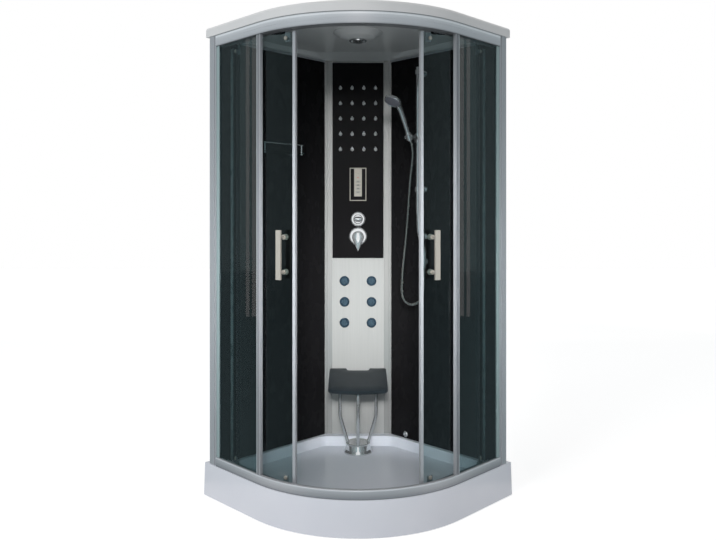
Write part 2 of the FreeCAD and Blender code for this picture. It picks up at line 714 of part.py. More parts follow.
def mirrored(label, source):
    """The left-hand twin of a right-hand piece."""
    twin = doc.addObject("Part::Mirroring", label)
    twin.Label = label
    twin.Source = source
    twin.Normal = X_AXIS
    return twin


def opened(label, source, side):
    """A door piece, drawn closed and turned about the door's pole to its open place."""
    holder = doc.addObject("Part::Compound", label)
    holder.Label = label
    holder.Links = [source]
    pole = Vector(-side * size.pole_across, corner_y - size.pole_forward, 0)
    holder.Placement = Placement(Vector(), Rotation(Z_AXIS, side * size.door_open), pole)
    return holder


# ------------------------------------------------------------- shared outlines

def quadrant(wall_inset, front_inset):
    """The cabin's plan outline in the cabin frame, drawn in from walls and front."""
    near = wall_inset
    far = size.tray_side - front_inset
    front_radius = size.tray_radius - front_inset
    return outline([(near, -near), (far, -near), (far, -far, front_radius), (near, -far)])


def room_outline(wall_inset, front_inset, rear_depth, corner_radius):
    """The inner plan outline: as the quadrant, with its rear corner cut at 45 degrees."""
    near = wall_inset
    far = size.tray_side - front_inset
    rear = rear_depth * ROOT2 - near
    front_radius = size.tray_radius - front_inset
    return outline([
        (rear, -near, corner_radius), (far, -near, corner_radius),
        (far, -far, front_radius),
        (near, -far, corner_radius), (near, -rear, corner_radius)])


def arc_band(inner, outer, start, end):
    """A band between two radii about the front arc's middle, angles from the front."""
    def spot(radius, angle):
        turn = math.radians(angle)
        return Vector(radius * math.sin(turn), arc_middle_y - radius * math.cos(turn), 0)
    middle = (start + end) / 2
    return [
        Part.Arc(spot(outer, start), spot(outer, middle), spot(outer, end)),
        Part.LineSegment(spot(outer, end), spot(inner, end)),
        Part.Arc(spot(inner, end), spot(inner, middle), spot(inner, start)),
        Part.LineSegment(spot(inner, start), spot(outer, start))]


def front_route(inset):
    """The route of a rail along the front, from the right post to the left post."""
    far = size.tray_side - inset
    bend = size.tray_radius - inset
    return open_path([
        (far, -rail_start, 0), (far, -far, 0, bend), (rail_start, -far, 0)])


def rail(label, profile):
    """A rail whose (distance from the wall, height) profile runs along the front."""
    body = new_body(label, cabin_frame)
    route = new_sketch(body, "XY_Plane")
    draw(route, front_route(size.rail_front))
    section = new_sketch(body, "XZ_Plane", "Sizes.post_side + Sizes.post_width + Sizes.clamp_width")
    draw(section, outline(profile))
    feature = body.newObject("PartDesign::AdditivePipe", label + "_sweep")
    feature.Profile = section
    feature.Spine = (route, [])
    return body


def plan(across, forward):
    """Cabin-frame coordinates of a spot given across and along the diagonal."""
    return (across + forward) / ROOT2, (across - forward) / ROOT2


# ------------------------------------------------------------------------ tray

def make_tray():
    """The tray: a skirted shell with a wall ledge, a sunk floor and a waste hole."""
    body = new_body("shower_tray", cabin_frame)
    foot = new_sketch(body, "XY_Plane", "Sizes.tray_lift")
    draw(foot, quadrant(0, 0))
    rim = new_sketch(body, "XY_Plane", "Sizes.tray_height")
    draw(rim, quadrant(0, size.tray_draft))
    loft(body, foot, rim)

    ledge = new_sketch(body, "XY_Plane", "Sizes.tray_height")
    draw(ledge, quadrant(size.wall_upstand, size.rim_width))
    pocket(body, ledge, "Sizes.tray_height - Sizes.ledge_height")

    basin_front = size.rim_width + size.basin_step
    slope = size.basin_slope
    edge = new_sketch(body, "XY_Plane", "Sizes.ledge_height")
    draw(edge, room_outline(
        size.ledge_width, basin_front, size.basin_rear, size.basin_corner))
    floor = new_sketch(body, "XY_Plane", "Sizes.basin_floor")
    draw(floor, room_outline(
        size.ledge_width + slope, basin_front + slope, size.basin_rear + slope,
        size.basin_corner - slope))
    loft(body, edge, floor, cut=True)

    tread = new_sketch(body, "XY_Plane", "Sizes.basin_floor - Sizes.tray_wall / 2")
    draw(tread, outline([(*plan(across, forward), size.tread_corner) for across, forward in (
        (size.tread_rear_half, size.tread_rear), (size.tread_front_half, size.tread_front),
        (-size.tread_front_half, size.tread_front), (-size.tread_rear_half, size.tread_rear))]))
    pad(body, tread, "Sizes.tray_wall / 2 + Sizes.tread_rise")

    inner_front = size.tray_wall + size.tray_draft
    under = new_sketch(body, "XY_Plane", "Sizes.tray_lift")
    draw(under, quadrant(size.tray_wall, inner_front))
    pocket(body, under, "Sizes.basin_floor - Sizes.tray_wall - Sizes.tray_lift", reverse=True)
    around = new_sketch(body, "XY_Plane", "Sizes.tray_lift")
    draw(around, quadrant(size.tray_wall, inner_front))
    draw(around, room_outline(
        size.ledge_width - size.tray_wall, basin_front - size.tray_wall,
        size.basin_rear - size.tray_wall, size.basin_corner + size.tray_wall))
    pocket(body, around, "Sizes.ledge_height - Sizes.tray_wall - Sizes.tray_lift", reverse=True)

    waste = new_sketch(body, "XY_Plane", "Sizes.basin_floor")
    draw_circle(waste, *plan(0, size.drain_forward), "Sizes.drain_hole")
    pocket(body, waste, "Sizes.tray_wall")
    return keep(body)


def make_frame():
    """The welded frame of square tubes under the tray, and its screw feet."""
    top = size.basin_floor - size.tray_wall
    low = top - size.beam_size
    half = size.beam_size / 2
    start = size.beam_near - size.beam_size
    middle = size.drain_forward / ROOT2 - size.trap_radius - size.beam_clear
    beams = []
    for reach, place in ((size.beam_reach, size.beam_near),
                         (middle + size.beam_size, middle)):
        beams.append(box("beam_along_right", (start, -place - half, low),
                         (reach, -place + half, top), cabin_frame))
        beams.append(box("beam_along_left", (place - half, -reach, low),
                         (place + half, -start, top), cabin_frame))
    frame = fuse("welded_beams", beams)

    far = size.beam_reach - size.beam_size
    spots = [(size.beam_near, size.beam_near), (far, size.beam_near),
             (size.beam_near, far), (middle, middle)]
    radius, rod_radius, thick = size.foot_radius, size.foot_rod, size.foot_pad
    profile = [(0, 0), (radius, 0), (radius, thick), (rod_radius, 2 * thick),
               (rod_radius, low - thick), (2 * rod_radius, low - thick),
               (2 * rod_radius, low), (0, low)]
    feet = []
    for right, left in spots:
        place = cabin_frame.multiply(Placement(Vector(right, -left, 0), Rotation()))
        feet.append(turned("screw_foot", profile, place))
    keep(group("tray_frame", [frame] + feet))


def make_waste():
    """The waste with its trap and its outlet to the floor, and the cover that lifts off."""
    spot = floor_spot(0, size.drain_forward, 0)
    floor = size.basin_floor
    rim = floor + size.flange_height
    under = floor - size.tray_wall - size.face_gap
    throat = size.drain_hole - size.drain_play
    bore = throat - size.tray_wall
    bottom = size.trap_bottom
    outlet = size.outlet_radius
    inside = outlet - size.outlet_wall
    keep(turned("waste_trap", [
        (inside, bottom - size.outlet_length), (outlet, bottom - size.outlet_length),
        (outlet, bottom), (size.trap_radius, bottom), (size.trap_radius, under),
        (throat, under), (throat, floor), (size.drain_flange, floor),
        (size.drain_flange, rim), (bore, rim), (bore, bottom + size.tray_wall),
        (inside, bottom + size.tray_wall)], spot))

    radius = size.drain_flange
    top = rim + size.cover_height
    keep(turned("waste_cover", [
        (0, rim - bore), (size.tray_wall, rim - bore), (size.tray_wall, rim), (radius, rim),
        (radius, rim + 2), (radius - 8, top), (0, top)], spot))


# ------------------------------------------------------------ walls and column

wall_start = size.column_width / 2 * ROOT2 + wall_face
post_outer = size.tray_side - size.post_front
post_inner = post_outer - size.post_depth
wall_end = post_inner + size.wall_thickness


def wall_panel(label, holes):
    """A black wall panel of the right wall, with (along, height, radius) holes."""
    body = new_body(label, cabin_frame)
    sketch = new_sketch(body, "XZ_Plane", "Sizes.wall_gap")
    notch = size.tray_side - size.rim_width - size.wall_end_gap
    draw(sketch, outline([
        (wall_start, size.ledge_height), (notch, size.ledge_height), (notch, size.tray_height),
        (wall_end, size.tray_height), (wall_end, size.wall_top), (wall_start, size.wall_top)]))
    pad(body, sketch, "Sizes.wall_thickness")
    if holes:
        openings = new_sketch(body, "XZ_Plane", "Sizes.wall_gap + Sizes.wall_thickness")
        for along, height, radius in holes:
            draw_circle(openings, along, height, radius)
        pocket(body, openings, "Sizes.wall_thickness")
    return body


def make_walls():
    """The two black wall panels."""
    keep(wall_panel("right_wall", [
        (size.steam_along, size.steam_height, "Sizes.steam_pipe + Sizes.groove_play"),
        (size.outlet_along, outlet_middle, "Sizes.pipe_radius + Sizes.groove_play")]))
    keep(mirrored("left_wall", wall_panel("plain_wall", [])))


def make_wall_profiles():
    """The upright wall posts, which also clamp the fixed panes, and the top trims."""
    near = size.post_side
    far = near + size.post_width
    pane_middle = size.tray_side - size.pane_inset
    slot = size.pane_thickness / 2 + size.groove_play
    jaw = slot + 2 * size.trim_wall
    groove_near = size.wall_gap - size.groove_play
    groove_far = wall_face + size.groove_play
    groove_depth = wall_end + size.groove_play
    clamp_floor = far + size.trim_wall
    post = new_body("right_post", cabin_frame)
    section = new_sketch(post, "XY_Plane", "Sizes.tray_height")
    draw(section, outline([
        (post_inner, -near), (post_outer, -near, 2), (post_outer, -far, 2),
        (pane_middle + jaw, -far), (pane_middle + jaw, -rail_start),
        (pane_middle + slot, -rail_start), (pane_middle + slot, -clamp_floor),
        (pane_middle - slot, -clamp_floor), (pane_middle - slot, -rail_start),
        (pane_middle - jaw, -rail_start), (pane_middle - jaw, -far), (post_inner, -far),
        (post_inner, -groove_far), (groove_depth, -groove_far),
        (groove_depth, -groove_near), (post_inner, -groove_near)]))
    chamber = size.trim_wall + groove_far
    draw(section, outline(rectangle(
        post_inner + size.rail_sheet, -far + size.rail_sheet,
        post_outer - size.rail_sheet, -chamber, 1)))
    pad(post, section, "Sizes.enclosure_height")

    side = size.trim_wall + size.groove_play
    trim = new_body("right_top_trim", cabin_frame)
    across = new_sketch(trim, "YZ_Plane", wall_start)
    skirt = size.wall_top - size.trim_lap
    draw(across, outline([
        (-size.wall_gap + side, skirt), (-size.wall_gap + side, frame_top),
        (-wall_face - side, frame_top), (-wall_face - side, skirt),
        (-groove_far, skirt), (-groove_far, size.wall_top + size.groove_play),
        (-groove_near, size.wall_top + size.groove_play), (-groove_near, skirt)]))
    pad(trim, across, post_inner - wall_start)
    keep(group("wall_profiles", [
        post, trim, mirrored("left_post", post), mirrored("left_top_trim", trim)]))


def nozzle_spots():
    """Places of the waterfall nozzles on the column: (across, height)."""
    first = -(size.nozzle_columns - 1) / 2 * size.nozzle_pitch_across
    return [(first + column * size.nozzle_pitch_across,
             nozzle_first - row * size.nozzle_pitch_down)
            for row in range(int(size.nozzle_rows))
            for column in range(int(size.nozzle_columns))]


def jet_spots():
    """Places of the body jets on the column: (across, height)."""
    return [(side * size.jet_across, jet_first - row * size.jet_pitch)
            for row in range(int(size.jet_rows)) for side in (-1, 1)]


def control_opening():
    """Outline of the opening behind the buttons, in the plane of the column."""
    half = size.button_shaft / 2
    margin = size.button_height / 2 + size.face_gap
    lowest = button_top - (size.button_count - 1) * size.button_pitch
    return outline(rectangle(-half, lowest - margin, half, button_top + margin, 3))


def make_column():
    """The silver column and the black glass panel on it, with the holes they share."""
    place = Placement(Vector(0, column_y, 0), Rotation())
    half = size.column_width / 2
    sheet_back = size.column_sheet
    bead_near = half - size.bead_inset
    bead_far = bead_near - size.edge_bead
    side = [
        (half - sheet_back, size.column_return), (half, size.column_return), (half, 0),
        (bead_near, 0), (bead_near - 1, -size.bead_height),
        (bead_far + 1, -size.bead_height), (bead_far, 0)]
    other = [(-point[0], *point[1:]) for point in reversed(side)]
    inside = [(-half + sheet_back, sheet_back), (half - sheet_back, sheet_back)]
    panel = new_body("column_panel", place)
    section = new_sketch(panel, "XY_Plane", "Sizes.ledge_height")
    draw(section, outline(side + other + inside))
    pad(panel, section, frame_top - size.ledge_height)

    glass = new_body("column_glass", place)
    face = new_sketch(glass, "XZ_Plane")
    draw(face, outline(rectangle(
        -size.glass_width / 2, glass_bottom, size.glass_width / 2, glass_top, 2)))
    pad(glass, face, "Sizes.glass_sheet")

    for body, tail_holes in ((panel, True), (glass, False)):
        holes = new_sketch(body, "XZ_Plane", "Sizes.glass_sheet")
        slot = size.nozzle_stem + size.groove_play
        for across, height in nozzle_spots():
            draw(holes, outline(rectangle(
                across - slot, height - slot, across + slot, height + slot)))
        for height in (mixer_height, diverter_height):
            draw_circle(holes, 0, height, "Sizes.cartridge_radius + Sizes.groove_play")
        if tail_holes:
            for across, height in jet_spots():
                draw_circle(holes, across, height, "Sizes.jet_tail + Sizes.groove_play")
        draw(holes, control_opening())
        pocket(body, holes, "Sizes.glass_sheet + Sizes.column_sheet")
    keep(panel)
    keep(glass)


# ------------------------------------------------------------------ waterfall

def teardrop(round_radius, point_height):
    """A drop: a lower end with flat sides and two flanks that meet in an upper point."""
    turn = math.asin(round_radius / point_height)
    sides = int(size.drop_sides)
    sweep = math.pi + 2 * turn
    corners = [(0, point_height)]
    for index in range(sides + 1):
        angle = math.pi - turn + sweep * index / sides
        corners.append((round_radius * math.cos(angle), round_radius * math.sin(angle)))
    return outline(corners)


def make_waterfall():
    """The waterfall nozzles, in rows on the column."""
    spots = nozzle_spots()
    body = new_body("waterfall_nozzles", column_spot(*spots[0], size.glass_sheet))
    foot = new_sketch(body)
    draw(foot, teardrop(size.nozzle_radius, size.nozzle_point))
    crest = new_sketch(body, "XY_Plane", "Sizes.nozzle_height")
    draw(crest, teardrop(size.nozzle_radius * size.drop_taper,
                         size.nozzle_point * size.drop_taper))
    drop = loft(body, foot, crest)
    root = new_sketch(body)
    half = size.nozzle_stem
    draw(root, outline(rectangle(-half, -half, half, half)))
    stem = pad(body, root, "Sizes.glass_sheet + Sizes.column_sheet", reverse=True)
    pattern = body.newObject("PartDesign::LinearPattern", "nozzle_rows")
    pattern.Originals = [drop, stem]
    pattern.Direction = (foot, ["H_Axis"])
    pattern.Direction2 = (foot, ["V_Axis"])
    pattern.Reversed2 = True
    pattern.Mode = "Spacing"
    pattern.Mode2 = "Spacing"
    bind(pattern, Offset="Sizes.nozzle_pitch_across", Offset2="Sizes.nozzle_pitch_down",
         Occurrences="Sizes.nozzle_columns", Occurrences2="Sizes.nozzle_rows")
    pattern.Spacings2 = [-1.0] * int(size.nozzle_rows - 1)
    body.Tip = pattern
    keep(body)


def make_jets():
    """The body jets: a rim, a sunk rubber middle and a tail through the column."""
    rim, insert = size.jet_radius, size.jet_insert
    tail, rise = size.jet_tail, size.jet_height
    tail_end = -size.column_sheet - size.jet_tail
    pieces = []
    for across, height in jet_spots():
        pieces.append(turned("body_jet", [
            (0, tail_end), (tail, tail_end), (tail, 0), (rim, 0), (rim - 6, rise),
            (insert, rise - 3), (insert / 3, rise + 1), (0, rise + 1)],
            column_spot(across, height)))
    keep(group("body_jets", pieces))


# -------------------------------------------------------------------- controls

def make_controls():
    """The control panel's outline and keypad, its buttons and the unit behind it."""
    spot = column_spot(0, 0, size.glass_sheet)
    half_width, half_height = size.control_width / 2, size.control_height / 2
    middle = control_middle
    bezel = new_body("control_outline", spot)
    ring = new_sketch(bezel)
    draw(ring, outline(rectangle(
        -half_width, middle - half_height, half_width, middle + half_height)))
    inner_width, inner_height = half_width - size.bezel_width, half_height - size.bezel_width
    draw(ring, outline(rectangle(
        -inner_width, middle - inner_height, inner_width, middle + inner_height)))
    pad(bezel, ring, "Sizes.bezel_height")

    keypad_top = middle + inner_height - size.keypad_drop
    keypad = new_body("keypad_strip", spot)
    strip = new_sketch(keypad)
    draw(strip, outline(rectangle(
        -size.keypad_width / 2, keypad_top - size.keypad_height,
        size.keypad_width / 2, keypad_top)))
    play = size.button_play
    for index in range(int(size.button_count)):
        height = button_top - index * size.button_pitch
        draw(strip, outline(rectangle(
            -size.button_width / 2 - play, height - size.button_height / 2 - play,
            size.button_width / 2 + play, height + size.button_height / 2 + play, 3)))
    pad(keypad, strip, "Sizes.keypad_rise")
    lamp_spot = column_spot(0, lamp_height, size.glass_sheet + size.keypad_rise)
    lamp = turned("signal_lamp", [
        (0, 0), (size.lamp_radius, 0), (size.lamp_radius, size.lamp_rise),
        (0, size.lamp_rise)], lamp_spot)
    keep(group("control_panel", [bezel, keypad, lamp]))

    front = size.glass_sheet + size.keypad_rise + size.button_rise
    for index in range(int(size.button_count)):
        height = button_top - index * size.button_pitch
        keep(plate(f"button_{index + 1}", rectangle(
            -size.button_width / 2, -size.button_height / 2,
            size.button_width / 2, size.button_height / 2, 3 - play),
            "Sizes.button_body", column_spot(0, height, front - size.button_body)))

    back = column_y + size.column_sheet
    keep(plate("control_unit", rectangle(
        -size.unit_width / 2, middle - half_height, size.unit_width / 2, middle + half_height, 5),
        "Sizes.unit_depth",
        Placement(Vector(0, back + size.unit_depth, 0), Rotation(X_AXIS, 90))))


def make_valves():
    """Plates, diverter knob, mixer cap and lever, and the valve block behind them."""
    play, gap = size.bearing_play, size.face_gap
    stem, rise = size.stem_radius, size.plate_rise
    depth = 3 * stem
    plates = []
    for height, radius in ((diverter_height, size.diverter_plate),
                           (mixer_height, size.mixer_plate)):
        plates.append(turned("valve_plate", [
            (stem + play, 0), (radius, 0), (radius, rise / 3), (radius - 6, rise),
            (stem + play, rise)], column_spot(0, height, size.glass_sheet)))
    keep(group("valve_plates", plates))

    spot = column_spot(0, diverter_height, size.glass_sheet)
    knob_base = rise + gap
    knob_top = rise + size.knob_rise
    knob_radius = size.diverter_knob
    knob = turned("knob_body", [
        (0, -depth), (stem, -depth), (stem, knob_base), (knob_radius, knob_base),
        (knob_radius, knob_top - 4), (knob_radius - 4, knob_top), (0, knob_top)], spot)
    grip = plate("knob_grip", rectangle(
        -size.grip_length / 2, -size.grip_width / 2, size.grip_length / 2, size.grip_width / 2,
        size.grip_width / 2 - 0.5), 6, spot, knob_top - 1)
    keep(fuse("diverter_knob", [knob, grip]))

    spot = column_spot(0, mixer_height, size.glass_sheet)
    ball = size.mixer_cap * 0.73
    pivot = rise + gap + size.cap_rise - ball
    cap = new_body("mixer_cap", spot)
    profile = new_sketch(cap, "XZ_Plane")
    shoulder = ball * math.cos(math.radians(30))
    draw(profile, outline([
        (0, -depth), (stem, -depth), (stem, rise + gap), (size.mixer_cap, rise + gap),
        (size.mixer_cap, pivot + ball * 0.3), (shoulder, pivot + ball / 2),
        (ball / 2, pivot + shoulder), (0, pivot + shoulder)]))
    spin = cap.newObject("PartDesign::Revolution", "cap_turn")
    spin.Profile = profile
    spin.ReferenceAxis = (profile, ["V_Axis"])
    neck = size.lever_neck
    slot = new_sketch(cap, "XY_Plane", pivot + ball + 1)
    lean = ball * math.sin(math.radians(size.lever_lift))
    draw(slot, outline(rectangle(
        -neck - gap, -neck - gap, neck + gap, neck + gap + lean)))
    pocket(cap, slot, ball + 1 + neck + gap)
    bearing = new_sketch(cap, "YZ_Plane", -pin_reach(neck) - gap)
    draw_circle(bearing, 0, pivot, "Sizes.lever_pin + Sizes.bearing_play")
    pocket(cap, bearing, 2 * pin_reach(neck) + 2 * gap, reverse=True)
    keep(cap)

    under = pivot + ball + gap
    blade = new_body("lever_blade", spot)
    low = new_sketch(blade, "XY_Plane", under)
    draw(low, lever_outline(1.0))
    high = new_sketch(blade, "XY_Plane", under + size.lever_thickness)
    draw(high, lever_outline(0.6))
    loft(blade, low, high)
    post = rod("lever_neck", (0, 0, pivot), (0, 0, under + 1), "Sizes.lever_neck - 1", spot)
    pin = rod("lever_pin", (-pin_reach(neck), 0, pivot), (pin_reach(neck), 0, pivot),
              "Sizes.lever_pin", spot)
    knuckle = rod("lever_knuckle", (-neck, 0, pivot), (neck, 0, pivot), "Sizes.lever_neck", spot)
    keep(fuse("mixer_lever", [blade, post, pin, knuckle]))

    front = size.block_gap + size.column_sheet
    half, margin = size.block_width / 2, size.block_margin
    place = Placement(Vector(0, column_y, 0), Rotation())
    block = box("block_body", (-half, front, mixer_height - margin),
                (half, front + size.block_depth, diverter_height + margin), place)
    solids, bores = [block], []
    for height in (mixer_height, diverter_height):
        face = -size.glass_sheet + gap
        solids.append(rod("cartridge", (0, front + 1, height), (0, face, height),
                          "Sizes.cartridge_radius", place))
        bores.append(rod("stem_bore", (0, depth - size.glass_sheet + 2, height),
                         (0, face - 1, height), "Sizes.stem_radius + Sizes.bearing_play", place))
    back = front + size.block_depth
    for side in (-1, 1):
        spot = side * size.inlet_spacing / 2
        solids.append(rod("inlet", (spot, back - 1, valve_middle),
                          (spot, back + size.inlet_length, valve_middle),
                          "Sizes.inlet_radius", place))
    keep(cut("valve_block", fuse("block_solids", solids), fuse("block_bores", bores)))


def pin_reach(neck):
    """Half the length of the lever's pin, past its knuckle into the cap."""
    return neck + 4


def lever_outline(scale):
    """The lever's plan: wide and round above, drawn to a blunt tip below."""
    half = size.lever_width / 2 * scale
    top = size.lever_top * scale
    tip = size.lever_length * (0.4 + 0.6 * scale)
    return outline([
        (-half, top, half * 0.7), (-half, -top, half * 0.9), (-half * 0.15, -tip),
        (half * 0.15, -tip), (half, -top, half * 0.9), (half, top, half * 0.7)])


# -------------------------------------------------------------- pipes and steam

def make_pipes():
    """Water pipes to the rain head, waterfall, jets and hand shower; the steam pipe."""
    radius, bend = size.pipe_radius, size.pipe_bend
    gap = size.block_gap + size.column_sheet
    back = column_y + gap + size.block_depth / 2
    top = diverter_height + size.block_margin
    bottom = mixer_height - size.block_margin
    half = size.block_width / 2
    rain_y = corner_y - size.dome_forward
    rain = pipe("rain_pipe", [
        (0, back, top), (0, back, pipe_level, bend),
        (0, rain_y, pipe_level, size.service_gap), (0, rain_y, ceiling_height)], radius)

    spots = nozzle_spots()
    reach = spots[-1][0] + size.distributor_margin
    behind = column_y + size.column_sheet
    distributor = plate("water_distributor", rectangle(
        -reach, spots[-1][1] - size.distributor_margin,
        reach, spots[0][1] + size.distributor_margin, 12),
        "Sizes.distributor_depth",
        Placement(Vector(0, behind + size.distributor_depth, 0), Rotation(X_AXIS, 90)))
    feed_y = behind + size.distributor_depth / 2
    low = spots[-1][1] - size.distributor_margin
    side = half / 2
    waterfall = pipe("waterfall_pipe", [
        (side, back, top), (side, back, low - size.feed_start, bend),
        (side, feed_y, low - size.feed_end, bend), (side, feed_y, low)], radius)

    manifold_y = column_y + size.column_sheet + 2 * size.jet_tail
    high = jet_first + 2 * size.jet_tail
    jets = pipe("jet_pipe", [
        (0, back, bottom), (0, back, high + size.manifold_start, bend),
        (0, manifold_y, high + size.manifold_end, bend), (0, manifold_y, high)], radius)
    lowest = jet_first - (size.jet_rows - 1) * size.jet_pitch
    wide = size.jet_tail
    tubes = [box("manifold_upright", (-wide, manifold_y - radius, lowest - wide),
                 (wide, manifold_y + radius, high))]
    for row in range(int(size.jet_rows)):
        height = jet_first - row * size.jet_pitch
        tubes.append(box("manifold_branch", (-size.jet_across, manifold_y - radius, height - radius),
                         (size.jet_across, manifold_y + radius, height + radius)))
    for across, height in jet_spots():
        tubes.append(box("manifold_socket", (across - wide, manifold_y - wide, height - wide),
                         (across + wide, manifold_y + radius + 2, height + wide)))
    manifold = fuse("jet_manifold", tubes)

    lane = -size.service_gap
    frame = cabin_frame.inverse()
    leave = frame.multVec(Vector(half, back, valve_middle))
    turn_x = leave.x + (lane - leave.y)
    hand = pipe("hand_shower_pipe", [
        (leave.x, leave.y, valve_middle), (turn_x, lane, valve_middle, bend),
        (size.outlet_along, lane, valve_middle, bend),
        (size.outlet_along, lane, outlet_middle, size.service_gap),
        (size.outlet_along, -wall_face, outlet_middle)], radius, cabin_frame)

    steam_y = column_y + size.column_sheet + size.steam_box_gap + size.steam_box_depth / 2
    source = size.steam_box_bottom + size.steam_box_height / 2
    leave = frame.multVec(Vector(size.steam_box_width / 2, steam_y, source))
    turn_x = leave.x + (lane - leave.y)
    steam = pipe("steam_pipe", [
        (leave.x, leave.y, source), (turn_x, lane, source, bend),
        (size.steam_along, lane, source, bend),
        (size.steam_along, lane, size.steam_height, size.service_gap),
        (size.steam_along, -wall_face, size.steam_height)],
        size.steam_pipe, cabin_frame)
    keep(group("service_pipes", [
        distributor, rain, waterfall, jets, manifold, hand, steam]))


def make_steam():
    """The steam generator, hung behind the column."""
    near = size.column_sheet + size.steam_box_gap
    half = size.steam_box_width / 2
    low = size.steam_box_bottom
    high = low + size.steam_box_height
    place = Placement(Vector(0, column_y, 0), Rotation())
    case = new_body("steam_case", place)
    sketch = new_sketch(case, "XY_Plane", "Sizes.steam_box_bottom")
    draw(sketch, outline(rectangle(-half, near, half, near + size.steam_box_depth, 10)))
    pad(case, sketch, "Sizes.steam_box_height")
    pieces = [case]
    for side in (-1, 1):
        for height in (low + size.beam_size, high - 2 * size.beam_size):
            inner = half - 2 * size.beam_size
            ends = sorted((side * inner, side * (inner + size.beam_size)))
            pieces.append(box("steam_lug", (ends[0], size.column_sheet, height),
                              (ends[1], near + 1, height + size.column_sheet), place))
    keep(fuse("steam_generator", pieces))



# ------------------------------------------------------------ rails, fixed panes

def make_rails():
    """The curved bottom and top rails, with their tracks and pane slots."""
    outer = size.tray_side - size.rail_front
    inner_box = outer - size.rail_outer
    pane = size.tray_side - size.pane_inset
    slot = size.pane_thickness / 2 + size.groove_play
    low = size.tray_height
    high = low + size.bottom_rail_height
    seat = high - size.pane_seat
    track = low + size.bottom_rail_floor
    edge = outer - size.bottom_rail_depth
    lip = low + size.bottom_rail_lip
    keep(rail("bottom_rail", [
        (edge, low), (outer, low), (outer, high, size.rail_round), (pane + slot, high),
        (pane + slot, seat), (pane - slot, seat), (pane - slot, high), (inner_box, high),
        (inner_box, track), (edge + size.rail_sheet, track), (edge + size.rail_sheet, lip),
        (edge, lip)]))

    high = frame_top
    low = frame_top - size.top_rail_height
    seat = low + size.pane_seat
    edge = outer - size.top_rail_depth
    shelf = outer - size.top_rail_shelf
    cover = high - size.cover_drop
    web = high - size.rail_sheet
    keep(rail("top_rail", [
        (outer, low), (outer, high), (edge, high), (edge, cover),
        (edge + size.rail_sheet, cover), (edge + size.rail_sheet, web), (inner_box, web),
        (inner_box, low + size.rail_sheet), (shelf, low + size.rail_sheet), (shelf, low),
        (pane - slot, low), (pane - slot, seat), (pane + slot, seat), (pane + slot, low)]))


def make_fixed_panes():
    """The two flat panes beside the walls, and the grooved strips on their free edges."""
    middle = size.tray_side - size.pane_inset
    half = size.pane_thickness / 2
    low = size.tray_height + size.bottom_rail_height - size.pane_seat
    high = frame_top - size.top_rail_height + size.pane_seat
    clamp_floor = size.post_side + size.post_width + size.trim_wall
    pane = box("right_fixed_pane", (middle - half, -size.pane_end, low),
               (middle + half, -clamp_floor, high), cabin_frame)
    keep(group("fixed_glass", [pane, mirrored("left_fixed_pane", pane)]))

    slot = half + size.groove_play
    outer = middle + size.strip_depth / 2
    inner = middle - size.strip_depth / 2
    start, end = size.strip_start, size.strip_start + size.strip_width
    groove = (size.strip_width - size.strip_groove) / 2
    floor = outer - size.strip_groove_depth
    strip = new_body("right_edge_strip", cabin_frame)
    section = new_sketch(strip, "XY_Plane", "Sizes.tray_height + Sizes.bottom_rail_height")
    draw(section, outline([
        (inner, -start), (middle - slot, -start), (middle - slot, -size.pane_end),
        (middle + slot, -size.pane_end), (middle + slot, -start), (outer, -start),
        (outer, -start - groove), (floor, -start - groove), (floor, -end + groove),
        (outer, -end + groove), (outer, -end), (inner, -end)]))
    pad(strip, section,
        "Sizes.enclosure_height - Sizes.bottom_rail_height - Sizes.top_rail_height")
    keep(group("fixed_edge_strips", [strip, mirrored("left_edge_strip", strip)]))


# ----------------------------------------------------------------------- doors

def arc_degrees(length):
    """The angle that a length along the door's circle spans."""
    return math.degrees(length / door_radius)


def keep_both(label, source):
    """The right door's piece in its open place, and its left-hand twin."""
    right = keep(opened("right_" + label, source, 1))
    keep(mirrored("left_" + label, right))


def upright_band(label, inner, outer, start, end, low, high):
    """A curved upright piece about the front arc's middle."""
    body = new_body(label)
    sketch = new_sketch(body, "XY_Plane", low)
    draw(sketch, arc_band(inner, outer, start, end))
    pad(body, sketch, f"{high} - ({low})")
    return body


def make_door_panes():
    """The curved door panes with their leading strips and trailing seals."""
    half = size.pane_thickness / 2
    slot = half + size.groove_play
    start = arc_degrees(size.door_meet)
    pane_start = start + arc_degrees(size.edge_width / 2)
    keep_both("door_pane", upright_band(
        "closed_pane", door_radius - half, door_radius + half, pane_start, size.door_angle,
        "Sizes.door_bottom", "Sizes.door_top"))

    strip = upright_band(
        "strip_body", door_radius - size.edge_depth / 2, door_radius + size.edge_depth / 2,
        start, start + arc_degrees(size.edge_width), "Sizes.door_bottom - Sizes.strip_over",
        "Sizes.door_top + Sizes.strip_over")
    groove = new_sketch(strip, "XY_Plane", "Sizes.door_bottom - Sizes.strip_over")
    draw(groove, arc_band(door_radius - slot, door_radius + slot, pane_start,
                          start + arc_degrees(2 * size.edge_width)))
    pocket(strip, groove, "Sizes.door_top - Sizes.door_bottom + 2 * Sizes.strip_over",
           reverse=True)

    end = size.door_angle + arc_degrees(size.seal_side)
    side = slot + size.seal_side
    seal = upright_band(
        "closed_seal", door_radius - side, door_radius + side,
        end - arc_degrees(size.seal_width), end, "Sizes.door_bottom", "Sizes.door_top")
    fin = new_sketch(seal, "XY_Plane", "Sizes.door_bottom")
    draw(fin, arc_band(door_radius + side - 1, door_radius + side + size.seal_fin,
                       end - arc_degrees(size.seal_side), end))
    pad(seal, fin, "Sizes.door_top - Sizes.door_bottom")
    channel = new_sketch(seal, "XY_Plane", "Sizes.door_bottom")
    draw(channel, arc_band(door_radius - slot, door_radius + slot,
                           end - arc_degrees(2 * size.seal_width), size.door_angle))
    pocket(seal, channel, "Sizes.door_top - Sizes.door_bottom", reverse=True)
    keep_both("door_seal", seal)
    return strip


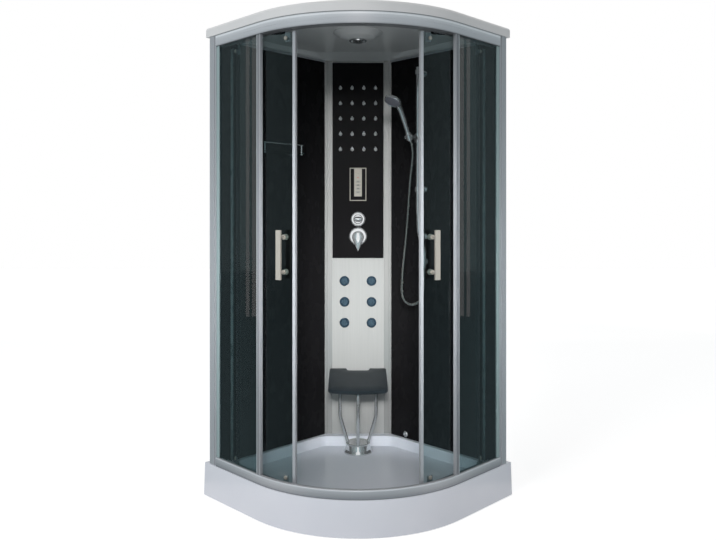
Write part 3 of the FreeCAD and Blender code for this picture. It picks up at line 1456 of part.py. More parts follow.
def wheel_levels():
    """Heights of the lower and upper wheels' axles."""
    lower = (size.tray_height + size.bottom_rail_floor + size.lower_wheel
             + size.face_gap)
    upper = (frame_top - size.top_rail_height + size.rail_sheet + size.upper_wheel
             + size.face_gap)
    return lower, upper


def make_door_rollers(strip):
    """Roller plates and axles joined to the leading strip's node, and the wheels."""
    half = size.pane_thickness / 2
    sheet, width = size.hanger_sheet, size.hanger_width / 2
    gap, wide = size.roller_gap, size.wheel_width
    lower, upper = wheel_levels()
    axle = "Sizes.wheel_bore - Sizes.bearing_play"
    pieces = [strip]
    for name, angle in (("front", size.front_roller), ("rear", size.rear_roller)):
        spot = door_spot(angle, 0, door_radius)
        inner = -half - sheet
        wheel_back = inner - gap - wide
        tail = wheel_back - gap - sheet
        foot = lower - size.axle_shoulder - sheet
        pieces.append(fuse(name + "_lower_hanger", [
            box("lower_plate", (-width, foot, inner),
                (width, size.lower_plate_top, -half - size.plate_seat), spot),
            rod("lower_axle", (0, lower, inner + 1), (0, lower, tail), axle, spot),
            rod("lower_head", (0, lower, wheel_back - gap), (0, lower, tail),
                "Sizes.axle_shoulder", spot)]))
        keep_both(name + "_lower_wheel", wheel(
            "closed_lower_wheel", size.lower_wheel, (0, lower, wheel_back), spot))

        near = -half - size.hanger_gap
        far = near - sheet
        wheel_front = size.upper_wheel_out
        wheel_back = wheel_front - wide
        nose = wheel_front + gap + sheet
        pieces.append(fuse(name + "_upper_hanger", [
            box("upper_plate", (-width, size.upper_plate_bottom, far),
                (width, size.upper_plate_top, near), spot),
            rod("upper_spacer", (0, size.upper_bolt, near - 1),
                (0, size.upper_bolt, -half - size.plate_seat),
                "Sizes.bolt_radius", spot),
            rod("upper_axle", (0, upper, near - 1), (0, upper, nose), axle, spot),
            rod("upper_shoulder", (0, upper, near - 1), (0, upper, wheel_back - gap),
                "Sizes.axle_shoulder", spot),
            rod("upper_head", (0, upper, wheel_front + gap), (0, upper, nose),
                "Sizes.axle_shoulder", spot)]))
        keep_both(name + "_upper_wheel", wheel(
            "closed_upper_wheel", size.upper_wheel, (0, upper, wheel_back), spot))
    keep_both("door_strip", group("closed_strip", pieces))


def wheel(label, radius, place, spot):
    """A roller with a chamfered tread and a bore, its back face at the given place."""
    wide = size.wheel_width
    edge = wide / 6
    profile = [
        (size.wheel_bore, 0), (radius - edge, 0), (radius, edge), (radius, wide - edge),
        (radius - edge, wide), (size.wheel_bore, wide)]
    return turned(label, profile, spot.multiply(Placement(Vector(*place), Rotation())))


def make_door_handles():
    """A bar handle on two posts with inner knobs, and the caps over the roller bolts."""
    half = size.pane_thickness / 2
    spot = door_spot(size.handle_at, 0, door_radius)
    bar_back = half + size.bar_standoff - size.bar_thickness / 2
    bar = plate("handle_bar", rectangle(
        -size.bar_width / 2, size.handle_middle - size.bar_height / 2,
        size.bar_width / 2, size.handle_middle + size.bar_height / 2),
        "Sizes.bar_thickness", spot, bar_back)
    outer, inner = [bar], []
    for side in (-1, 1):
        height = size.handle_middle + side * size.handle_spacing / 2
        outer.append(rod("handle_post", (0, height, half), (0, height, bar_back + 1),
                         "Sizes.handle_post", spot))
        outer.append(rod("handle_rosette", (0, height, half), (0, height, half + 3),
                         "Sizes.handle_post + 4", spot))
        place = spot.multiply(Placement(
            Vector(0, height, -half - size.plate_seat), Rotation(X_AXIS, 180)))
        radius, depth = size.knob_radius, size.knob_depth
        inner.append(turned("inner_knob", [
            (0, 0), (radius - 3, 0), (radius - 3, depth / 3), (radius, depth / 3 + 2),
            (radius, depth - 2), (radius - 3, depth), (0, depth)], place))
    pieces = [fuse("outer_handle", outer)] + inner
    for angle in (size.front_roller, size.rear_roller):
        for height in (size.lower_bolt, size.upper_bolt):
            radius = size.cap_radius
            pieces.append(turned("bolt_cap", [
                (0, 0), (radius, 0), (radius - 2, size.cap_height), (0, size.cap_height)],
                door_spot(angle, height, door_radius + half)))
    keep_both("door_handle", group("closed_handle", pieces))


# ----------------------------------------------- riser rail, hand shower and hose

def holder_frame(height=0.0):
    """A frame on the holder's pivot: z along the leaning hand shower, x along the wall."""
    spot = wall_spot(size.riser_along, size.slider_height,
                     size.riser_standoff + size.holder_reach)
    lean = Placement(Vector(), Rotation(X_AXIS, size.holder_tilt - 90))
    return spot.multiply(lean).multiply(Placement(Vector(0, 0, height), Rotation()))


def make_riser():
    """The riser rail with its lowest arm, its brackets and the hose outlet."""
    wall = wall_spot(size.riser_along, 0)
    shift = size.outlet_along - size.riser_along
    standoff, low = size.riser_standoff, size.outlet_standoff
    bent = standoff - size.riser_lean
    rail_bend = 3 * size.riser_radius
    bottom = size.riser_bottom
    tube = pipe("riser_tube", [
        (0, size.riser_top, standoff),
        (0, bottom + size.riser_bend_high, standoff, 4 * rail_bend),
        (0, bottom + size.riser_bend_middle, bent, 2 * rail_bend),
        (shift, bottom + size.riser_bend_low, low, rail_bend), (shift, bottom, low)],
        size.riser_radius, wall)
    share = ((size.riser_bend_middle - size.bracket_low)
             / (size.riser_bend_middle - size.riser_bend_low))
    arm_height = bottom + size.bracket_low
    arm_end = bent - share * (bent - low)
    along = share * shift
    arm = rod("lowest_arm", (along, arm_height, 0), (along, arm_height, arm_end),
              "Sizes.bracket_arm", wall)
    foot = rod("lowest_rosette", (along, arm_height, 0),
               (along, arm_height, size.rosette_depth), "Sizes.rosette_radius", wall)
    keep(fuse("riser_rail", [tube, arm, foot]))

    fittings = []
    core = rod("riser_core", (0, bottom + size.riser_bend_high, standoff),
               (0, size.riser_top + size.bracket_length, standoff), "Sizes.riser_radius", wall)
    reach = size.bracket_length / 2
    for height in (size.bracket_high, size.bracket_middle):
        rosette = rod("bracket_rosette", (0, height, 0), (0, height, size.rosette_depth),
                      "Sizes.rosette_radius", wall)
        arm = rod("bracket_arm", (0, height, 0), (0, height, standoff),
                  "Sizes.bracket_arm", wall)
        collar = rod("bracket_collar", (0, height - reach, standoff),
                     (0, height + reach, standoff), "Sizes.bracket_radius", wall)
        fittings.append(cut("riser_bracket", fuse("bracket_solids", [rosette, arm, collar]),
                            core))
    outlet = fuse("hose_outlet", [
        rod("outlet_rosette", (shift, outlet_middle, 0),
            (shift, outlet_middle, size.rosette_depth), "Sizes.rosette_radius", wall),
        rod("outlet_arm", (shift, outlet_middle, 0), (shift, outlet_middle, low),
            "Sizes.bracket_arm", wall),
        rod("outlet_drum", (shift, size.riser_bottom - size.outlet_height, low),
            (shift, size.riser_bottom, low), "Sizes.outlet_body", wall),
        rod("outlet_nut", (shift, hose_end_height, low),
            (shift, size.riser_bottom - size.outlet_height + 1, low), "Sizes.nut_bottom", wall)])
    fittings.append(outlet)
    radius = size.steam_radius
    fittings.append(turned("steam_rosette", [
        (0, 0), (radius, 0), (radius, 3), (radius - 4, 7), (0, 7)],
        wall_spot(size.steam_along, size.steam_height)))
    keep(group("wall_fittings", fittings))


def make_hand_shower():
    """The slider with its fork, the tilting holder, and the hand shower in it."""
    wall = wall_spot(size.riser_along, 0)
    standoff, middle = size.riser_standoff, size.slider_height
    pivot = standoff + size.holder_reach
    root = pivot - size.fork_clear
    half, fork = size.slider_length / 2, size.fork_half
    cheek = size.holder_radius + size.face_gap
    high = size.cheek_half
    solids = fuse("slider_solids", [
        rod("slider_drum", (0, middle - half, standoff), (0, middle + half, standoff),
            "Sizes.slider_radius", wall),
        box("slider_arm", (-high, middle - high, standoff), (high, middle + high, root), wall),
        box("fork_root", (-fork, middle - high, root - high), (fork, middle + high, root), wall),
        box("near_cheek", (-fork, middle - high, root - 1), (-cheek, middle + high, pivot), wall),
        box("far_cheek", (cheek, middle - high, root - 1), (fork, middle + high, pivot), wall),
        rod("near_eye", (-fork, middle, pivot), (-cheek, middle, pivot),
            "Sizes.cheek_half", wall),
        rod("far_eye", (cheek, middle, pivot), (fork, middle, pivot),
            "Sizes.cheek_half", wall)])
    bores = fuse("slider_bores", [
        rod("rail_bore", (0, middle - 2 * half, standoff), (0, middle + 2 * half, standoff),
            "Sizes.riser_radius + Sizes.bearing_play", wall),
        rod("pivot_bore", (-2 * fork, middle, pivot), (2 * fork, middle, pivot),
            "Sizes.pivot_radius + Sizes.bearing_play", wall)])
    keep(cut("rail_slider", solids, bores))

    frame = holder_frame()
    tall = size.holder_height / 2
    top, bottom = size.nut_top, size.nut_bottom
    reach = size.nut_length / 2

    def nut_radius(level):
        """Radius of the conical nut at a level above the pivot."""
        return bottom + (top - bottom) * (level + reach) / (2 * reach)

    ring = turned("holder_ring", [
        (nut_radius(-tall), -tall), (size.holder_radius, -tall),
        (size.holder_radius, tall), (nut_radius(tall), tall)], frame)
    pins = []
    for side in (-1, 1):
        inner = side * (top + 1.5)
        pins.append(rod("holder_pin", (inner, 0, 0), (side * fork, 0, 0),
                        "Sizes.pivot_radius", frame))
    keep(fuse("handset_holder", [ring] + pins))

    lean = math.radians(size.holder_tilt)
    along = reach + size.handle_length
    out = size.head_reach * math.cos(lean) - size.head_raise * math.sin(lean)
    up = size.head_reach * math.sin(lean) + size.head_raise * math.cos(lean)
    head = Vector(0, -out, along + up)
    face = Rotation(X_AXIS, 180 - size.head_face - size.holder_tilt)
    head_place = frame.multiply(Placement(head, face))
    back = head - face.multVec(Z_AXIS) * (size.head_depth * 0.6)
    nut = turned("hose_nut", [
        (0, -reach), (bottom, -reach), (top, reach), (size.handle_radius, reach + 6),
        (0, reach + 6)], frame)
    handle = pipe("handset_handle", [
        (0, 0, reach), (0, 0, along, 2.5 * size.handle_radius), (0, back.y, back.z)],
        size.handle_radius, frame)
    radius, depth = size.head_radius, size.head_depth
    disc = turned("handset_head", [
        (0, -depth), (radius * 0.5, -depth), (radius - 3, -depth * 0.5), (radius, -4),
        (radius, 0), (0, 0)], head_place)
    keep(fuse("handset", [nut, handle, disc]))


def hose_route():
    """Corners of the hose's route, from the hand shower's nut to the outlet's nut."""
    start = holder_frame(-size.nut_length / 2)
    leave = start.Base - start.Rotation.multVec(Z_AXIS) * size.hose_lead
    end = wall_spot(size.outlet_along, hose_end_height, size.outlet_standoff).Base
    middle = [Vector(across, corner_y - forward, height)
              for across, forward, height in HOSE_SAG]
    last = Vector(end.x, end.y, end.z - size.hose_tail)
    return [start.Base, leave] + middle + [last, end]


HOSE_SAG = [
    (268, 455.5, 1545), (255.4, 461, 1440), (246.5, 461, 1290), (233, 460, 1130),
    (218.5, 458, 985), (217, 456, 867), (272.5, 431.5, 832), (328, 407, 867)]


# share of the shorter run beside a corner that the arc there takes
HOSE_BEND_SHARE = 0.45


def make_hose():
    """The hose: straight runs joined by tangent arcs."""
    corners = hose_route()
    points = [tuple(corners[0])]
    for before, corner, after in zip(corners, corners[1:], corners[2:]):
        turn = (corner - before).getAngle(after - corner)
        shorter = min(before.distanceToPoint(corner), corner.distanceToPoint(after))
        radius = HOSE_BEND_SHARE * shorter / math.tan(turn / 2)
        points.append((corner.x, corner.y, corner.z, radius))
    points.append(tuple(corners[-1]))
    keep(pipe("shower_hose", points, size.hose_radius))


# ----------------------------------------------------------------------- shelf

def make_shelf():
    """The glass shelf on the left wall, its clamps, and the thin rail over it."""
    wall = wall_spot(0, 0)
    low = size.shelf_height - size.shelf_glass / 2
    high = low + size.shelf_glass
    glass = box("shelf_sheet", (size.shelf_near - size.shelf_overhang, low, size.shelf_gap),
                (size.shelf_far + size.shelf_overhang, high, size.shelf_gap + size.shelf_depth),
                wall)
    keep(mirrored("shelf_glass", glass))

    half = size.clamp_half
    pieces = []
    for along in (size.shelf_near, size.shelf_far):
        clamp = box("clamp_block", (along - half, size.shelf_height - half, 0),
                    (along + half, size.shelf_height + half, size.clamp_reach), wall)
        pieces.append(cut("shelf_clamp", clamp, glass))
    rail_level = high + size.shelf_rail_rise
    depth = size.shelf_post_depth
    uprights = []
    for along in (size.shelf_post_near, size.shelf_post_far):
        uprights.append(rod("rail_post", (along, high, depth), (along, rail_level, depth),
                            "Sizes.shelf_post", wall))
        uprights.append(rod("post_foot", (along, high, depth), (along, high + 3, depth),
                            "Sizes.shelf_post + 3", wall))
        pieces.append(rod("post_nut", (along, low - 4, depth), (along, low, depth),
                          "Sizes.shelf_post + 2", wall))
    over = 2 * size.shelf_post
    uprights.append(rod("thin_rail", (size.shelf_post_near - over, rail_level, depth),
                        (size.shelf_post_far + over, rail_level, depth),
                        "Sizes.shelf_rail", wall))
    pieces.append(fuse("shelf_rail", uprights))
    keep(mirrored("shelf_fittings", group("right_shelf", pieces)))


# -------------------------------------------------------------- roof and ceiling

def make_roof():
    """The roof: a rimmed canopy with a sunk top and a sloped, raised ceiling."""
    body = new_body("roof_canopy", cabin_frame)
    inset, rounding = size.roof_inset, size.roof_round
    low = new_sketch(body, "XY_Plane", frame_top)
    draw(low, quadrant(inset, inset))
    pad(body, low, "Sizes.roof_height - Sizes.roof_round")
    shoulder = new_sketch(body, "XY_Plane", roof_top - rounding)
    draw(shoulder, quadrant(inset, inset))
    crest = new_sketch(body, "XY_Plane", roof_top)
    draw(crest, quadrant(inset, inset + rounding * 0.6))
    loft(body, shoulder, crest)

    well = new_sketch(body, "XY_Plane", roof_top)
    draw(well, quadrant(inset + size.roof_rim, inset + size.roof_rim))
    pocket(body, well, "Sizes.roof_height - Sizes.ceiling_rise - Sizes.roof_sheet")

    bearing = new_sketch(body, "XY_Plane", frame_top)
    draw(bearing, room_outline(size.roof_bearing_wall, size.roof_bearing,
                               size.roof_bearing_rear, size.ceiling_corner))
    flat = new_sketch(body, "XY_Plane", ceiling_height)
    slope = size.roof_slope
    draw(flat, room_outline(size.roof_bearing_wall + slope, size.roof_bearing + slope,
                            size.ceiling_rear, size.ceiling_corner))
    loft(body, bearing, flat, cut=True)

    holes = new_sketch(body, "XY_Plane", roof_top)
    for side in (-1, 1):
        draw_circle(holes, *plan(side * size.fitting_across, size.fitting_forward),
                    "Sizes.fitting_throat + Sizes.groove_play")
    draw_circle(holes, *plan(0, size.dome_forward), "Sizes.pipe_radius + Sizes.groove_play")
    pipe_forward = size.column_depth - size.column_sheet - size.block_gap - size.block_depth / 2
    margin = size.pipe_radius + 2
    spots = [(-margin, pipe_forward - margin), (margin, pipe_forward - margin),
             (margin, pipe_forward + size.pipe_bend), (-margin, pipe_forward + size.pipe_bend)]
    draw(holes, outline([(*plan(*spot), 3) for spot in spots]))
    pocket(body, holes, "Sizes.roof_height")
    keep(body)


def make_ceiling_fittings():
    """The shallow dome with the rain head in its mouth, and the two round fittings."""
    spot = floor_spot(0, size.dome_forward, 0)
    top, sheet = ceiling_height, size.dome_sheet
    low = top - size.dome_drop
    mouth, rim = size.dome_mouth, size.dome_radius
    bulge = mouth + (rim - mouth) * 0.55
    keep(turned("ceiling_dome", [
        (mouth, low), (bulge, low + size.dome_drop * 0.3), (rim, top - sheet),
        (rim, top), (rim - sheet, top),
        (bulge - sheet, low + size.dome_drop * 0.3 + sheet), (mouth, low + sheet)], spot))
    head, height = size.rain_radius, size.rain_height
    keep(turned("rain_head", [
        (0, low - height), (head - 4, low - height), (head, low - height + 4),
        (head, low), (size.rain_stem + 4, low), (size.rain_stem, low + 4),
        (size.rain_stem, top), (0, top)], spot))

    rim, throat = size.fitting_radius, size.fitting_throat
    drop, sheet = size.fitting_drop, size.dome_sheet
    middle, high = size.grille_radius, ceiling_height + size.fitting_height
    axle, hub = size.axle_radius, size.impeller_hub
    rims, grilles = [], []
    for side in (-1, 1):
        spot = floor_spot(side * size.fitting_across, size.fitting_forward, 0)
        rims.append(turned("fitting_rim", [
            (middle, top - drop + 2), (middle + 3, top - drop), (rim - 6, top - drop),
            (rim, top - drop / 2), (rim, top), (throat, top), (throat, high),
            (0, high), (0, high - sheet), (throat - sheet, high - sheet),
            (throat - sheet, top - 2), (middle, top - 2)], spot))
        if side > 0:
            rims.append(turned("fan_motor", [
                (0, top + 1), (axle, top + 1), (axle, top + size.impeller_depth + 4),
                (hub - 1, top + size.impeller_depth + 4), (hub - 1, high - sheet),
                (0, high - sheet)], spot))
        grilles.append(turned("grille_disc", [
            (0, top - drop - 1), (middle * 0.4, top - drop - 1), (middle, top - drop + 2),
            (middle, top - 2), (middle - 3, top - 2), (middle - 3, top - drop + 4),
            (0, top - drop + 3)], spot))
    keep(group("ceiling_rims", rims))
    keep(group("ceiling_grilles", grilles))

    spot = floor_spot(size.fitting_across, size.fitting_forward, top + 2)
    deep = size.impeller_depth
    solids = [turned("impeller_hub", [
        (axle + size.bearing_play, 0), (hub, 0), (hub, deep), (axle + size.bearing_play, deep)],
        spot)]
    for index in range(int(size.impeller_blades)):
        turn = Rotation(Z_AXIS, index * 360 / size.impeller_blades)
        pitch = Rotation(X_AXIS, 32)
        place = spot.multiply(Placement(Vector(), turn)).multiply(
            Placement(Vector(0, 0, deep / 2), pitch))
        solids.append(box("fan_blade", (hub - 2, -deep / 2, -0.75),
                          (size.impeller_radius, deep / 2, 0.75), place))
    keep(fuse("fan_impeller", solids))


# ----------------------------------------------------------------------- stool

def make_stool():
    """The stool: a sloped pad on four bent tubes that stand in a domed base."""
    tilt = Rotation(X_AXIS, size.seat_tilt)
    seat_place = Placement(
        Vector(0, corner_y - size.stool_forward - size.seat_forward, size.seat_height), tilt)
    half, length = size.seat_width / 2, size.seat_length / 2
    notch, depth = size.notch_width / 2, size.notch_depth
    bow = size.seat_bow
    keep(plate("stool_seat", [
        (-half, -length + bow, size.seat_corner),
        (0, -length - bow / 2, size.seat_front_radius),
        (half, -length + bow, size.seat_corner), (half, length, 10), (notch, length, 6),
        (notch, length - depth, 10), (-notch, length - depth, 10), (-notch, length, 6),
        (-half, length, 10)], "Sizes.seat_thickness", seat_place, -size.seat_thickness))

    centre = floor_spot(0, size.stool_forward, 0)
    legs = []
    for index in range(4):
        frame = centre.multiply(Placement(Vector(), Rotation(Z_AXIS, 90 * index)))
        legs.append(pipe("stool_leg", [
            (size.leg_spread, 0, size.seat_height + 20),
            (size.leg_spread, 0, size.leg_knee, size.leg_bend),
            (size.leg_foot, 0, size.leg_end - 6)], size.leg_radius, frame))
    floor, high = size.basin_floor, size.base_height
    wide, neck = size.base_radius, size.base_neck
    base = turned("stool_base", [
        (0, floor), (wide, floor), (wide, floor + 6), (neck + 6, floor + high * 0.35),
        (neck, floor + high * 0.8), (neck + 3, floor + high * 0.86),
        (neck + 3, floor + high * 0.96), (neck, floor + high), (0, floor + high)], centre)
    block = box("above_legs", (-half, -length, -size.seat_thickness), (half, length, 60),
                seat_place)
    keep(cut("stool_frame", fuse("stool_solids", legs + [base]), block))


# ------------------------------------------------------------- build and check

make_tray()
make_frame()
make_waste()
make_walls()
make_wall_profiles()
make_column()
make_waterfall()
make_jets()
make_controls()
make_valves()
make_pipes()
make_steam()
make_rails()
make_fixed_panes()
make_door_rollers(make_door_panes())
make_door_handles()
make_riser()
make_hand_shower()
make_hose()
make_shelf()
make_roof()
make_ceiling_fittings()
make_stool()
doc.recompute()

for item in doc.Objects:
    states = set(item.State)
    if states & {"Invalid", "Error"}:
        raise RuntimeError(item.Label + " did not build: " + ", ".join(sorted(states)))

os.makedirs("parts", exist_ok=True)
for node in nodes:
    shape = node.Shape
    if shape.isNull() or not shape.isValid() or shape.Volume <= 0:
        raise RuntimeError(node.Label + " is not a valid solid")
    shape.exportStep("parts/" + node.Label + ".step")
print(len(nodes), "sub-parts written")
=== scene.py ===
# %% [markdown]
# # Steam shower cabin
#
# The cabin's sub-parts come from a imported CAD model. This lesson loads them as a
# fixed frame, gives each one the finish of the real thing, and makes the pieces
# that look better as free meshes: the hose, the seat pad, the nozzles, the jets,
# the lever, the grip, the hand shower, the gaskets and the keypad's marks. All
# lengths are in metres.

# %% Load the frame
import math
import bmesh
import bpy
from mathutils import Matrix, Vector


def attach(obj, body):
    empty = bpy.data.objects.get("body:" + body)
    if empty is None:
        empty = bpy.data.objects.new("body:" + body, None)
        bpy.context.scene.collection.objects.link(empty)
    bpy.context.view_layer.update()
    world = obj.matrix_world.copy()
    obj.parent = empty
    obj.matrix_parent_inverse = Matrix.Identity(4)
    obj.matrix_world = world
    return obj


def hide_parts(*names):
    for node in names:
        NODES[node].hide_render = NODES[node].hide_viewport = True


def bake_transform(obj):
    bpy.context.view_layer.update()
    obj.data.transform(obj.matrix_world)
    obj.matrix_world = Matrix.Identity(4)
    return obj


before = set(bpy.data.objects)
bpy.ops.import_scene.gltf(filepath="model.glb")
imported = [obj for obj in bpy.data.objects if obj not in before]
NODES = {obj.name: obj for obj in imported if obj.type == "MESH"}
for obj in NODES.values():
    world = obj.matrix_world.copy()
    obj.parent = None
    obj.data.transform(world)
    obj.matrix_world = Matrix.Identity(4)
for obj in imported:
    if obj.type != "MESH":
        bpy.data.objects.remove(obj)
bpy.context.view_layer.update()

# %% [markdown]
# ## Camera
#
# The picture was taken from in front of the doors, at about chest height, with a
# level camera. A level camera keeps upright lines upright, so the picture's frame
# is moved down with the lens shift in place of tilting the camera.

# %% Camera
IMAGE_WIDTH = 716            # pixels
FOCAL_PIXELS = 720           # focal length in pixels
HORIZON_ABOVE_MIDDLE = 53.7  # pixels
CAMERA_PLACE = (0.0, -3.431, 1.279)

camera_data = bpy.data.cameras.new("front_camera")
camera_data.sensor_width = 36.0
camera_data.lens = 36.0 * FOCAL_PIXELS / IMAGE_WIDTH
camera_data.shift_y = -HORIZON_ABOVE_MIDDLE / IMAGE_WIDTH
camera = bpy.data.objects.new("front_camera", camera_data)
camera.location = CAMERA_PLACE
camera.rotation_euler = (math.radians(90), 0, 0)
bpy.context.scene.collection.objects.link(camera)
bpy.context.scene.camera = camera
print("lens", round(camera_data.lens, 2), "mm, shift", round(camera_data.shift_y, 4))

# %% [markdown]
# ## Tools for pieces and finishes
#
# A finish is a small node tree round one Principled shader. One function adds a
# node and sets or links its sockets, another turns a screen colour into the linear
# colour that the renderer wants. Real surfaces are never even, so most finishes
# have one noise that moves their roughness, bumps them or drifts their colour.

# %% Small tools
def colour(code):
    """Linear colour of an sRGB hex code."""
    parts = [int(code[index:index + 2], 16) / 255 for index in (0, 2, 4)]
    linear = [v / 12.92 if v <= 0.04045 else ((v + 0.055) / 1.055) ** 2.4 for v in parts]
    return linear + [1.0]


def add(tree, kind, sockets=None, **settings):
    """Adds a node, applies its settings, and sets or links its input sockets."""
    node = tree.nodes.new(kind)
    for name, value in settings.items():
        setattr(node, name, value)
    for name, value in (sockets or {}).items():
        if isinstance(value, bpy.types.NodeSocket):
            tree.links.new(value, node.inputs[name])
        else:
            node.inputs[name].default_value = value
    return node


def calculate(tree, operation, *values):
    """Result of a math node; each value is a number or another node's socket."""
    return add(tree, "ShaderNodeMath", dict(enumerate(values)), operation=operation).outputs[0]


def mix_colours(tree, share, first, second):
    """A colour between two screen colours, by a share from 0 to 1."""
    mix = add(tree, "ShaderNodeMix", {"Factor": share}, data_type="RGBA")
    mix.inputs[6].default_value = colour(first)
    mix.inputs[7].default_value = colour(second)
    return mix.outputs[2]


def new_finish(name, code, roughness, metallic=0.0, **more):
    """A material with one Principled shader; more holds further sockets."""
    material = bpy.data.materials.new(name)
    material.use_nodes = True
    tree = material.node_tree
    tree.nodes.clear()
    shader = add(tree, "ShaderNodeBsdfPrincipled", {
        "Base Color": colour(code), "Roughness": roughness, "Metallic": metallic})
    for socket, value in more.items():
        shader.inputs[socket.replace("_", " ")].default_value = value
    add(tree, "ShaderNodeOutputMaterial", {"Surface": shader.outputs["BSDF"]})
    material.diffuse_color = colour(code)
    return material, tree, shader


def streaks(tree, size, detail=2.0):
    """Noise whose grain has one size all round, or one size along each axis."""
    sizes = size if isinstance(size, tuple) else (size, size, size)
    place = add(tree, "ShaderNodeTexCoord")
    mapping = add(tree, "ShaderNodeMapping", {
        "Vector": place.outputs["Object"], "Scale": [1 / length for length in sizes]})
    return add(tree, "ShaderNodeTexNoise", {
        "Vector": mapping.outputs["Vector"], "Scale": 1.0, "Detail": detail})


def spread(tree, noise, low, high):
    """Stretches the noise, most of which lies from 0.3 to 0.7, over another range."""
    return add(tree, "ShaderNodeMapRange", {
        "Value": noise.outputs["Fac"], "From Min": 0.3, "From Max": 0.7,
        "To Min": low, "To Max": high}).outputs["Result"]


def vary_roughness(tree, shader, noise, low, high):
    """Lets the roughness move between two values with the noise."""
    tree.links.new(spread(tree, noise, low, high), shader.inputs["Roughness"])


def raise_bump(tree, shader, noise, height, strength=0.5):
    """Bumps the surface by the noise, its height in metres."""
    bump = add(tree, "ShaderNodeBump", {
        "Height": noise.outputs["Fac"], "Distance": height, "Strength": strength})
    tree.links.new(bump.outputs["Normal"], shader.inputs["Normal"])


def vary_colour(tree, shader, noise, dark, light):
    """Lets the base colour move between two colours with the noise."""
    mixed = mix_colours(tree, noise.outputs["Fac"], dark, light)
    tree.links.new(mixed, shader.inputs["Base Color"])


def grained(name, code, roughness, metallic=0.0, grain=0.01, detail=2.0, rough=None,
            bump=None, strength=0.5, tones=None, **more):
    """A finish with one noise: rough and tones are ranges, bump is a height."""
    material, tree, shader = new_finish(name, code, roughness, metallic, **more)
    noise = streaks(tree, grain, detail)
    if rough:
        vary_roughness(tree, shader, noise, *rough)
    if bump:
        raise_bump(tree, shader, noise, bump, strength)
    if tones:
        vary_colour(tree, shader, noise, *tones)
    return material


def dress(material, *names):
    """Gives a material to CAD nodes."""
    for name in names:
        mesh = NODES[name].data
        mesh.materials.clear()
        mesh.materials.append(material)


# %% [markdown]
# ## Metals
#
# The frame is extruded aluminium with a satin anodised skin. Its die leaves fine
# lines along each bar, so the noise that varies its roughness is stretched along
# the bar: upright for posts and edge strips, level for the curved rails. A rail's
# rounded section shows one bright band: a colour ramp over its height paints this
# highlight, and the shade towards its edges, into the rail's colour.
# The fittings are chrome-plated brass, almost a mirror, with faint smears. A full
# metal shows only its surroundings, and here these are mostly dark, so the frame,
# the handles and the chrome stay below it. The hidden brass and steel are full.

# %% Aluminium and chrome
post_metal = grained("satin_aluminium_upright", "adb0b5", 0.34, 0.3, (0.0006, 0.0006, 0.4),
                     rough=(0.24, 0.4), bump=0.00004, strength=0.3)

# Heights of each rail's lower and upper edge, and its painted highlight and shade as (share of
# height, colour)
TOP_RAIL_EDGES = (2.048, 2.098)
BOTTOM_RAIL_EDGES = (0.150, 0.189)
TOP_RAIL_PAINTED_SHADING = [(0.0, "8d9095"), (0.12, "bcbfc4"), (0.5, "c4c7cc"), (0.72, "d2d5da"),
                  (0.82, "f2f4f8"), (0.9, "e4e7eb"), (0.96, "a4a7ac"), (1.0, "7c7f84")]
BOTTOM_RAIL_PAINTED_SHADING = [(0.0, "74777c"), (0.12, "94979c"), (0.45, "a5a8ad"), (0.8, "b6b9be"),
                     (0.92, "dadde2"), (1.0, "a2a5aa")]


def rail_finish(name, edges, tones):
    """Anodised aluminium whose colour carries a painted highlight and painted shade over the
    height of its rounded section.
    """
    material = grained(name, tones[2][1], 0.34, 0.3, (0.3, 0.3, 0.0007),
                       rough=(0.26, 0.42), bump=0.00004, strength=0.3)
    tree = material.node_tree
    place = add(tree, "ShaderNodeTexCoord")
    axes = add(tree, "ShaderNodeSeparateXYZ", {"Vector": place.outputs["Object"]})
    # The ramp paints highlight and shade into the base colour by height, for the light on a
    # rounded rail.
    share = add(tree, "ShaderNodeMapRange", {
        "Value": axes.outputs["Z"], "From Min": edges[0], "From Max": edges[1]})
    ramp = add(tree, "ShaderNodeValToRGB", {"Fac": share.outputs["Result"]})
    stops = ramp.color_ramp.elements
    while len(stops) < len(tones):
        stops.new(0.5)
    for stop, (position, code) in zip(stops, tones):
        stop.position = position
        stop.color = colour(code)
    shader = tree.nodes["Principled BSDF"]
    tree.links.new(ramp.outputs["Color"], shader.inputs["Base Color"])
    return material


top_rail_metal = rail_finish("satin_aluminium_top_rail", TOP_RAIL_EDGES, TOP_RAIL_PAINTED_SHADING)
bottom_rail_metal = rail_finish(
    "satin_aluminium_bottom_rail", BOTTOM_RAIL_EDGES, BOTTOM_RAIL_PAINTED_SHADING)
chrome = grained("polished_chrome", "dcdee0", 0.07, 0.8, 0.03, 3.0, rough=(0.04, 0.12))
nickel = grained("brushed_nickel", "a8a39a", 0.34, 0.45, (0.0006, 0.0006, 0.05), 3.0,
                 rough=(0.26, 0.44), tones=("9a958c", "b3aea6"))
brass = grained("cast_brass", "b08d4a", 0.38, 1.0, 0.002, bump=0.0002)
steel = grained("galvanised_steel", "9b9ea1", 0.45, 1.0, 0.012, 1.0,
                rough=(0.3, 0.6), tones=("85888b", "b2b5b8"))

dress(post_metal, "wall_profiles", "fixed_edge_strips", "right_door_strip", "left_door_strip")
dress(top_rail_metal, "top_rail")
dress(bottom_rail_metal, "bottom_rail")
dress(chrome, "waste_cover", "valve_plates", "diverter_knob", "mixer_cap", "riser_rail",
      "wall_fittings", "rail_slider", "handset_holder", "shelf_fittings", "stool_frame",
      "rain_head")
dress(nickel, "right_door_handle", "left_door_handle")
dress(brass, "valve_block")
dress(steel, "tray_frame", "service_pipes")
print("metals on", sum(1 for n in NODES.values() if n.data.materials), "nodes")

# %% [markdown]
# ## Acrylic, paint and plastics
#
# The tray and the roof are pressed acrylic: bright, smooth, with a slow waviness
# from the mould. The wall panels are black acrylic on board. Their specular level
# is low, so that they stay black beside the bright doorway. The column is silver
# sheet, which has its own cell below.

